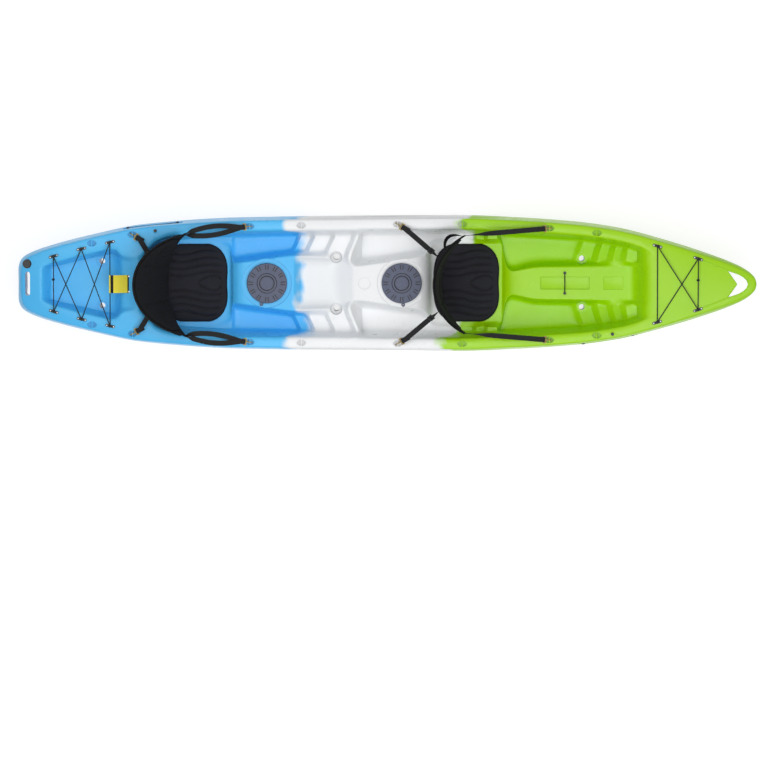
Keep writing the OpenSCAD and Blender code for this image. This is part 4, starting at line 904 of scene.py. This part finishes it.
bm = bmesh.new()
looped(bm, *[Vector((1045, y, BOW_CONSOLE + 6.5)) for y in (-59, 59)])
dress(new_object("console_cord", bm), cord_braid, "cord", "boat", "console_bungee")
bm = bmesh.new()
for i in (0, 1):
    turn = park_place(i)
    a, b = [turn @ (Vector((k * PARK_SPAN / 2, park_side[i] * -7, 0)) * MM) / MM for k in (-1, 1)]
    looped(bm, a, b, 6.4)
dress(new_object("park_cords", bm), cord_braid, "cord", "boat", "paddle_park_bungees")

# %% [markdown]
# ## Seat pads
# A pad starts as a flat grid bent to the pad's outline and pulled up into a low pillow. A voxel Remesh
# makes an even mesh, the sewn channels are pressed in, and a short Cloth simulation with air pressure
# swells the cells between them. The points of the underside, edge and channels are pinned, so only the
# filling moves.

# %% Pad outline
PAD_LENGTH, PAD_WIDTH, PAD_BACK, PAD_BASE = 385, 448, 30, SEAT + 0.6
BLUNT, CHANNELS, CHANNEL_WIDTH, CHANNEL_DEPTH, SOLE = 0.97, (0.24, 0.42, 0.6, 0.78), 0.022, 0.011, 0.004

def bump(d, w):
    return exp(-(d / w) ** 2)

def pad_half(t):
    return PAD_LENGTH / 2 * (1 - abs(t) ** 3) ** (1 / 3)

def pad_outline(s, t):
    x = s * pad_half(t) - 9 * ease((s - 0.5) / 0.5) * bump(t, 0.35)
    return Vector((x, t / BLUNT * PAD_WIDTH / 2, 0))

def pad_place(p):
    t = BLUNT * max(-1.0, min(1.0, p.y / (PAD_WIDTH / 2 * MM)))
    return p.x / MM / pad_half(t), t

def pad_seam(s, t):
    live = ease((0.95 - abs(s)) / 0.25)
    curl = 0.035 * sin(4.2 * s) + 0.05 * s
    lines = max(bump(abs(t) - c - curl, CHANNEL_WIDTH) for c in CHANNELS)
    u = clamp01((s - 0.05) / 0.75)
    width = 0.5 * u * sqrt(1 - u)
    drop = bump(abs(t) - width, CHANNEL_WIDTH) * ease(u / 0.1) * ease((0.82 - s) / 0.04)
    return max(live * lines * ease((abs(t) - width) / 0.05), drop)

print("pad", PAD_LENGTH, "by", PAD_WIDTH, "mm")

# %% Swell with cloth
VOXEL = 0.005

def pillow(name, place_top, place_base, across, along):
    bm = bmesh.new()
    bmesh.ops.create_grid(bm, x_segments=across, y_segments=along, size=1.0)
    base = {v: (v.co.x, v.co.y) for v in bm.verts}
    for v in new_points(bmesh.ops.extrude_face_region(bm, geom=bm.faces[:])):
        v.co = place_top(v.co.x, v.co.y) * MM
    for v, (s, t) in base.items():
        v.co = place_base(s, t) * MM
    bmesh.ops.recalc_face_normals(bm, faces=bm.faces)
    piece = new_object(name, bm)
    even = piece.modifiers.new("even", "REMESH")
    even.mode, even.voxel_size = "VOXEL", VOXEL
    settle(piece)
    return piece

def swell(piece, held, pressure, cap):
    pins = piece.vertex_groups.new(name="held")
    for v in piece.data.vertices:
        pins.add([v.index], held(v.co), "REPLACE")
    start = [v.co.copy() for v in piece.data.vertices]
    cloth = piece.modifiers.new("cloth", "CLOTH")
    cloth.settings.vertex_group_mass = "held"
    cloth.settings.use_pressure = True
    cloth.settings.uniform_pressure_force = pressure
    cloth.settings.effector_weights.gravity = 0.0
    cloth.collision_settings.use_collision = False
    for step in range(1, 21):
        scene.frame_set(step)
    settle(piece)
    scene.frame_set(1)
    moved_most = 0.0
    for v, old in zip(piece.data.vertices, start):
        step = v.co - old
        if step.length > cap * MM:
            v.co = old + step.normalized() * cap * MM
        moved_most = max(moved_most, min(step.length / MM, cap))
    piece.vertex_groups.clear()
    print(piece.name, len(piece.data.vertices), "points, swelled", round(moved_most, 1), "mm")

def eased_out(t):
    return BLUNT * sin(pi / 2 * t)

def pad_top(s, t):
    high = 9 + 15 * (1 - abs(s) ** 5) * (1 - abs(eased_out(t) / BLUNT) ** 6)
    return pad_outline(s, eased_out(t)) + Vector((0, 0, high))

pad = pillow("rear_pad", pad_top, lambda s, t: pad_outline(s, eased_out(t)), 40, 60)
for v in pad.data.vertices:
    if v.co.z > SOLE:
        v.co.z -= min(CHANNEL_DEPTH * pad_seam(*pad_place(v.co)), v.co.z - SOLE)

def pad_held(p):
    s, t = pad_place(p)
    edge = max(abs(s) ** 12, (abs(t) / BLUNT) ** 20)
    return 1.0 if p.z < SOLE or edge > 0.55 else min(1.0, 1.3 * pad_seam(s, t))

swell(pad, pad_held, pressure=4.0, cap=13.0)

# %% Place both pads and their piping
def rounded_off(piece):
    soft = piece.modifiers.new("soft", "SUBSURF")
    soft.levels = soft.render_levels = 1

def twin(piece, name):
    copy = bpy.data.objects.new(name, piece.data.copy())
    scene.collection.objects.link(copy)
    return copy

ring = ([(1, t / 24) for t in range(-24, 24)] + [(s / 12, 1) for s in range(12, -12, -1)]
        + [(-1, t / 24) for t in range(24, -24, -1)] + [(s / 12, -1) for s in range(-12, 13)])
bm = bmesh.new()
sweep(bm, tube_rings([pad_outline(s, eased_out(t)) + Vector((0, 0, 8)) for s, t in ring], 3.2, 8))
piping = new_object("rear_pad_piping", bm)
pads = {"rear": (pad, piping), "front": (twin(pad, "front_pad"), twin(piping, "front_pad_piping"))}
for end, (cushion, edge) in pads.items():
    spot = moved(SEAT_X[end] + PAD_LENGTH / 2 - PAD_BACK, 0, PAD_BASE)
    cushion.data.transform(spot)
    edge.data.transform(spot)
    dress(cushion, seat_cloth, "seat_cloth", "boat", end + "_seat_pad", angle=180)
    dress(edge, back_cloth, "seat_cloth", "boat", angle=180)
    rounded_off(cushion)

# %% Lugs that carry the hinge rods
for end, x in SEAT_X.items():
    bm = bmesh.new()
    for y in (-85, 85):
        prism(bm, [(-8, 0), (8, 0), (8, 34), (5, 42), (-5, 42), (-8, 34)], 12,
              moved(x, y + 6, PAD_BASE - 0.3) @ TILT, 1.2)
    dress(new_object(end + "_pad_lugs", bm), black_plastic, "seat_cloth", "boat")

# %% [markdown]
# ## Backrests
# A backrest is a bent panel with a cushion sewn to its front. The panel is a thin ring swept round an arc,
# from one wing tip to the other. The cushion swells in the same way as the pads: it is simulated once in
# its own upright frame, then copied, bent to each seat and leaned back. The rear one is pulled harder, so
# its wings flare forward.

# %% Backrest panels
BACK_R, BACK_HALF, BACK_HEIGHT, BACK_FOOT, PANEL = 325, 285, 390, 12, 6
WING_TOP, WING_FOOT, WING_HOLD, WING_FROM = 255, 200, 222.5, 0.35
WING = asin(BACK_HALF / BACK_R)
LEAN, FLARE = {"rear": 28, "front": 6}, {"rear": 68, "front": 0}
ACROSS = [k / 20 for k in range(-20, 21)]

def back_point(k, h, inset):
    r = BACK_R - inset
    return Vector((BACK_R - r * cos(k * WING), r * sin(k * WING), h))

def back_top(k):
    return BACK_HEIGHT - (BACK_HEIGHT - WING_TOP) * k * k

def back_foot(k):
    out = max(0.0, (abs(k) - WING_FROM) / (1 - WING_FROM))
    return BACK_FOOT + (WING_FOOT - BACK_FOOT) * out ** 1.5

def flared(p, end):
    k = min(1.0, abs(atan2(p.y, BACK_R - p.x)) / WING)
    return p + Vector((FLARE[end], copysign(FLARE[end] / 10, p.y), 0)) * k ** 3

def lean_place(end):
    return moved(SEAT_X[end], 0, SEAT + 40) @ Matrix.Rotation(radians(-LEAN[end]), 4, "Y")

def panel_ring(k, end):
    low, high = back_foot(k), back_top(k)
    up = [0.02, 0.25, 0.5, 0.75, 0.98]
    ring = [(f, 0) for f in up] + [(1, PANEL / 2)] + [(f, PANEL) for f in up[::-1]] + [(0, PANEL / 2)]
    return [flared(back_point(k, mix(low, high, f), inset), end) for f, inset in ring]

for end in ("rear", "front"):
    bm = bmesh.new()
    sweep(bm, [panel_ring(k, end) for k in ACROSS])
    for h in (lambda k: back_top(k) - 1, lambda k: back_foot(k) + 1):
        binding = [flared(back_point(k, h(k), PANEL / 2), end) for k in ACROSS]
        sweep(bm, tube_rings(binding, 4.6, 8))
    lying(bm, 0, 0, 8.4, -70, 70, 24)
    prism(bm, box(-1, 7, 70), 18)
    bmesh.ops.transform(bm, matrix=lean_place(end), verts=bm.verts)
    panel = new_object(end + "_back_panel", bm)
    dress(panel, back_cloth, "seat_cloth", end + "_back", end + "_backrest", angle=60)

# %% Backrest cushions
SPAN, ABOVE_FOOT, BELOW_TOP, CUSHION_BACK = 0.9, 14, 12, 6.8

def cushion_point(s, t, inset):
    k = SPAN * s
    return back_point(k, mix(back_foot(k) + ABOVE_FOOT, back_top(k) - BELOW_TOP, (t + 1) / 2), inset)

def cushion_place(p):
    p = p / MM
    k = atan2(p.y, BACK_R - p.x) / WING
    low, high = back_foot(k) + ABOVE_FOOT, back_top(k) - BELOW_TOP
    t = 2 * (p.z - low) / (high - low) - 1
    return k / SPAN, t, BACK_R - hypot(p.y, BACK_R - p.x)

def cushion_seam(s, t):
    upright_lines = bump(abs(s) - 0.36 - 0.04 * t, 0.028) * ease((0.9 - abs(t)) / 0.2)
    cross_line = bump(t - 0.12 - 0.25 * s * s, 0.05) * ease((0.95 - abs(s)) / 0.2)
    return max(upright_lines, cross_line)

cushion = pillow("rear_back_cushion",
                 lambda s, t: cushion_point(s, t, 15 + 6 * (1 - s ** 6) * (1 - t ** 6)),
                 lambda s, t: cushion_point(s, t, CUSHION_BACK), 70, 34)
for v in cushion.data.vertices:
    s, t, inset = cushion_place(v.co)
    press = min(6.0 * cushion_seam(s, t), max(0.0, inset - 10))
    v.co += Vector((-cos(s * SPAN * WING), sin(s * SPAN * WING), 0)) * press * MM

def cushion_held(p):
    s, t, inset = cushion_place(p)
    edge = max(abs(s) ** 30, abs(t) ** 16)
    return 1.0 if inset < 9 or edge > 0.5 else min(1.0, 1.2 * cushion_seam(s, t))

swell(cushion, cushion_held, pressure=3.5, cap=7.0)
for piece, end in ((twin(cushion, "front_back_cushion"), "front"), (cushion, "rear")):
    for v in piece.data.vertices:
        v.co = flared(v.co / MM, end) * MM
    piece.data.transform(lean_place(end))
    dress(piece, back_cloth, "seat_cloth", end + "_back", end + "_backrest_pad", angle=180)
    rounded_off(piece)

# %% [markdown]
# ## Straps
# Each strap is a flat ring of webbing swept from the snap hook's frame, folded round its bar, to the
# backrest. It turns on edge before it meets the panel. The rear seat's front straps are doubled. A strap
# crosses the recline joint.

# %% Strap paths
STRAP_W, STRAP_T, PITCH, FRAME_FAR, FOLD = 30, 2.5, radians(28), 38.25, 5.45
BACK_HOLD_K, BACK_HOLD_H, LOWER_FROM, BAND_UV = 0.43, 235, 9, [0, 0, 1, 1]
EYES = {"rear": (1, 2), "front": (4, 6)}

def band(p, thick, wide):
    return [p + thick + wide, p - thick + wide, p - thick - wide, p + thick - wide]

def hold_at(end, front, side, flare=True):
    p = (back_point(side, WING_HOLD, PANEL / 2) if front
         else back_point(BACK_HOLD_K * side, BACK_HOLD_H, -0.6))
    return lean_place(end) @ ((flared(p, end) if flare else p) * MM) / MM

def hook_frame(end, front, side):
    centre = pad_eye_at(EYES[end][front], side) + Vector((0, 0, 0.5))
    to = hold_at(end, front, side, False) - centre
    yaw = (180 if to.x < 0 else 0) + max(-30, min(30, degrees(atan(to.y / to.x))))
    return moved(*centre, yaw) @ Matrix.Rotation(-PITCH, 4, "Y")

def strap(end, front, side, bow=0.0, drop=0.0, late=0.5):
    turns = [radians(a) for a in range(270, 89, -30)]
    fold = [(FRAME_FAR + FOLD * cos(a), FOLD * sin(a)) for a in turns]
    fold = [(84.25, -FOLD), (58.25, -FOLD)] + fold + [(62.25, FOLD)]
    place = hook_frame(end, front, side)
    points = [place @ (Vector((x, 0, z - drop)) * MM) / MM for x, z in fold]
    start, hold, run = points[-1], hold_at(end, front, side), [i / 18 for i in range(1, 19)]
    marks = [0.0] * len(points) + run
    sag = Vector((0, side * bow, -10 if front else 0))
    points += [start.lerp(hold, f) + sag * sin(pi * f) for f in run]
    flat = (place.to_3x3() @ Vector((0, 1, 0))).normalized()
    up = lean_place(end).to_3x3() @ Vector((0, 0, 1)) * side * (1 if front else -1)
    rings = []
    for i, (p, f) in enumerate(zip(points, marks)):
        ahead = heading(points, i)
        turn = pi / 2 * ease((f - late) / (0.95 - late))
        wide = flat * cos(turn) + up * sin(turn)
        wide = (wide - ahead * wide.dot(ahead)).normalized() * STRAP_W / 2
        rings.append(band(p, ahead.cross(wide).normalized() * STRAP_T / 2, wide))
    return points, marks, rings

for end in ("rear", "front"):
    for front, part in ((0, "back"), (1, "front")):
        for side, name in ((1, "port"), (-1, "starboard")):
            bm = bmesh.new()
            double = end == "rear" and front
            late = 0.78 if double else 0.5
            points, marks, rings = strap(end, front, side, 27 if double else 0, 0, late)
            sweep(bm, rings, BAND_UV)
            if double:
                lower = strap(end, front, side, -24, 3, late)[2]
                sweep(bm, lower[LOWER_FROM:], BAND_UV)
            node = "_".join((end, "strap", part, name))
            piece = new_object(node + "_web", bm)
            dress(piece, webbing, "webbing", None, node)
            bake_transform(piece)

# %% Spare webbing looped behind the front seat's port wing
LOOP_OUT, LOOP_TIP, LOOP_STEPS = 44, 34, 16

marks = [i / LOOP_STEPS for i in range(LOOP_STEPS + 1)]
tail = [back_point(mix(0.96, 0.58, u), mix(226, 246, u), -2 - LOOP_OUT * sin(pi * u))
        for u in marks]
rings = []
for i, (p, u) in enumerate(zip(tail, marks)):
    ahead = heading(tail, i)
    tip_over = Matrix.Rotation(radians(LOOP_TIP * sin(pi * u)), 3, ahead)
    wide = tip_over @ Vector((0, 0, STRAP_W / 2))
    rings.append(band(p, ahead.cross(wide).normalized() * STRAP_T / 2, wide))
bm = bmesh.new()
sweep(bm, rings, BAND_UV)
bmesh.ops.transform(bm, matrix=lean_place("front"), verts=bm.verts)
dress(new_object("front_spare_web", bm), webbing, "webbing", "front_back")

# %% Ladder buckles on the back straps
BUCKLE_AT = 0.7

def bar(bm, place, size, spot, soften=1.0):
    made = bmesh.ops.create_cube(bm, size=1.0)["verts"]
    bmesh.ops.scale(bm, verts=made, vec=Vector(size) * MM)
    bmesh.ops.translate(bm, verts=made, vec=Vector(spot) * MM)
    bmesh.ops.transform(bm, matrix=place, verts=made)
    edges = list({e for v in made for e in v.link_edges})
    bmesh.ops.bevel(bm, geom=edges, offset=soften * MM, affect="EDGES", segments=2, profile=0.5,
                    material=-1)

for end in ("rear", "front"):
    bm = bmesh.new()
    for side in (-1, 1):
        points, marks, rings = strap(end, 0, side)
        i = next(j for j, f in enumerate(marks) if f >= BUCKLE_AT)
        ahead = heading(points, i)
        wide = (rings[i][0] - rings[i][3]).normalized()
        seat = Matrix((ahead, wide, ahead.cross(wide))).transposed().to_4x4()
        seat.translation = points[i] * MM
        for y in (-18.5, 18.5):
            bar(bm, seat, (30, 5, 7), (0, y, 0), 1.4)
        for x, z in ((-12.5, 2.6), (0, -3.2), (12.5, 2.6)):
            bar(bm, seat, (5, 37, 3.6), (x, 0, z))
    piece = new_object(end + "_buckles", bm)
    dress(piece, black_plastic, "black_plastic", None, end + "_seat_buckles")
    start = (hook_frame(end, 0, 1).translation + hook_frame(end, 0, -1).translation) / 2
    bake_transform(piece)

# %% [markdown]
# ## Tank-well tab
# The yellow tab is wide webbing sewn round the last run of the stern cord and riveted to the shelf. It is
# one more sweep, this time of a wide flat ring, and black binding strips cover its two ends.

# %% Yellow tab and its bindings
TAB_HALF, TAB_SKIN, TAB_X, TAB_END = 51.5, 2.5, stern_eye_x[2], TANK_END - 22
TAB_LOOP_R = CORD_R + 1.75
tab_z = stern_eyes[2].z + EYE_BAR - BIGHT_R
foot_x, foot_z = TAB_END - 34, shelf_z + TAB_SKIN / 2
reach = hypot(foot_x - TAB_X, foot_z - tab_z)
fall = atan2(foot_z - tab_z, foot_x - TAB_X) - asin(TAB_LOOP_R / reach)

def ribbon(bm, path, thickness):
    points, rings = [Vector((x, 0, z)) for x, z in path], []
    for i, p in enumerate(points):
        ahead = heading(points, i)
        up = Vector((-ahead.z, 0, ahead.x)) * thickness / 2
        rings.append(band(p, up, Vector((0, TAB_HALF, 0))))
    sweep(bm, rings, BAND_UV)

round_cord = [pi / 2 + fall + radians(a) for a in range(0, 291, 15)]
loop = [(TAB_X + TAB_LOOP_R * cos(a), tab_z + TAB_LOOP_R * sin(a)) for a in round_cord]
slope = [(mix(foot_x, loop[0][0], f), mix(foot_z, loop[0][1], f)) for f in (0.02, 0.1, 0.4, 0.7, 0.95)]
bm = bmesh.new()
ribbon(bm, [(TAB_END, foot_z), (foot_x + 12, foot_z)] + slope + loop, TAB_SKIN)
dress(new_object("tank_tab_web", bm), yellow_web, "yellow_web", "boat", "tank_tab")
bm = bmesh.new()
ribbon(bm, [(TAB_END + d, foot_z + 2) for d in (-17, -8, 0.5)], 1.6)
along, up = Vector((cos(fall), sin(fall))), Vector((-sin(fall), cos(fall)))
strip = [Vector((TAB_X, tab_z)) + up * (CORD_R + 3.7) + along * d for d in (1, 8, 18)]
ribbon(bm, [tuple(p) for p in strip], 1.4)
dress(new_object("tank_tab_binding", bm), webbing, "webbing", "boat", "tank_tab_ends")
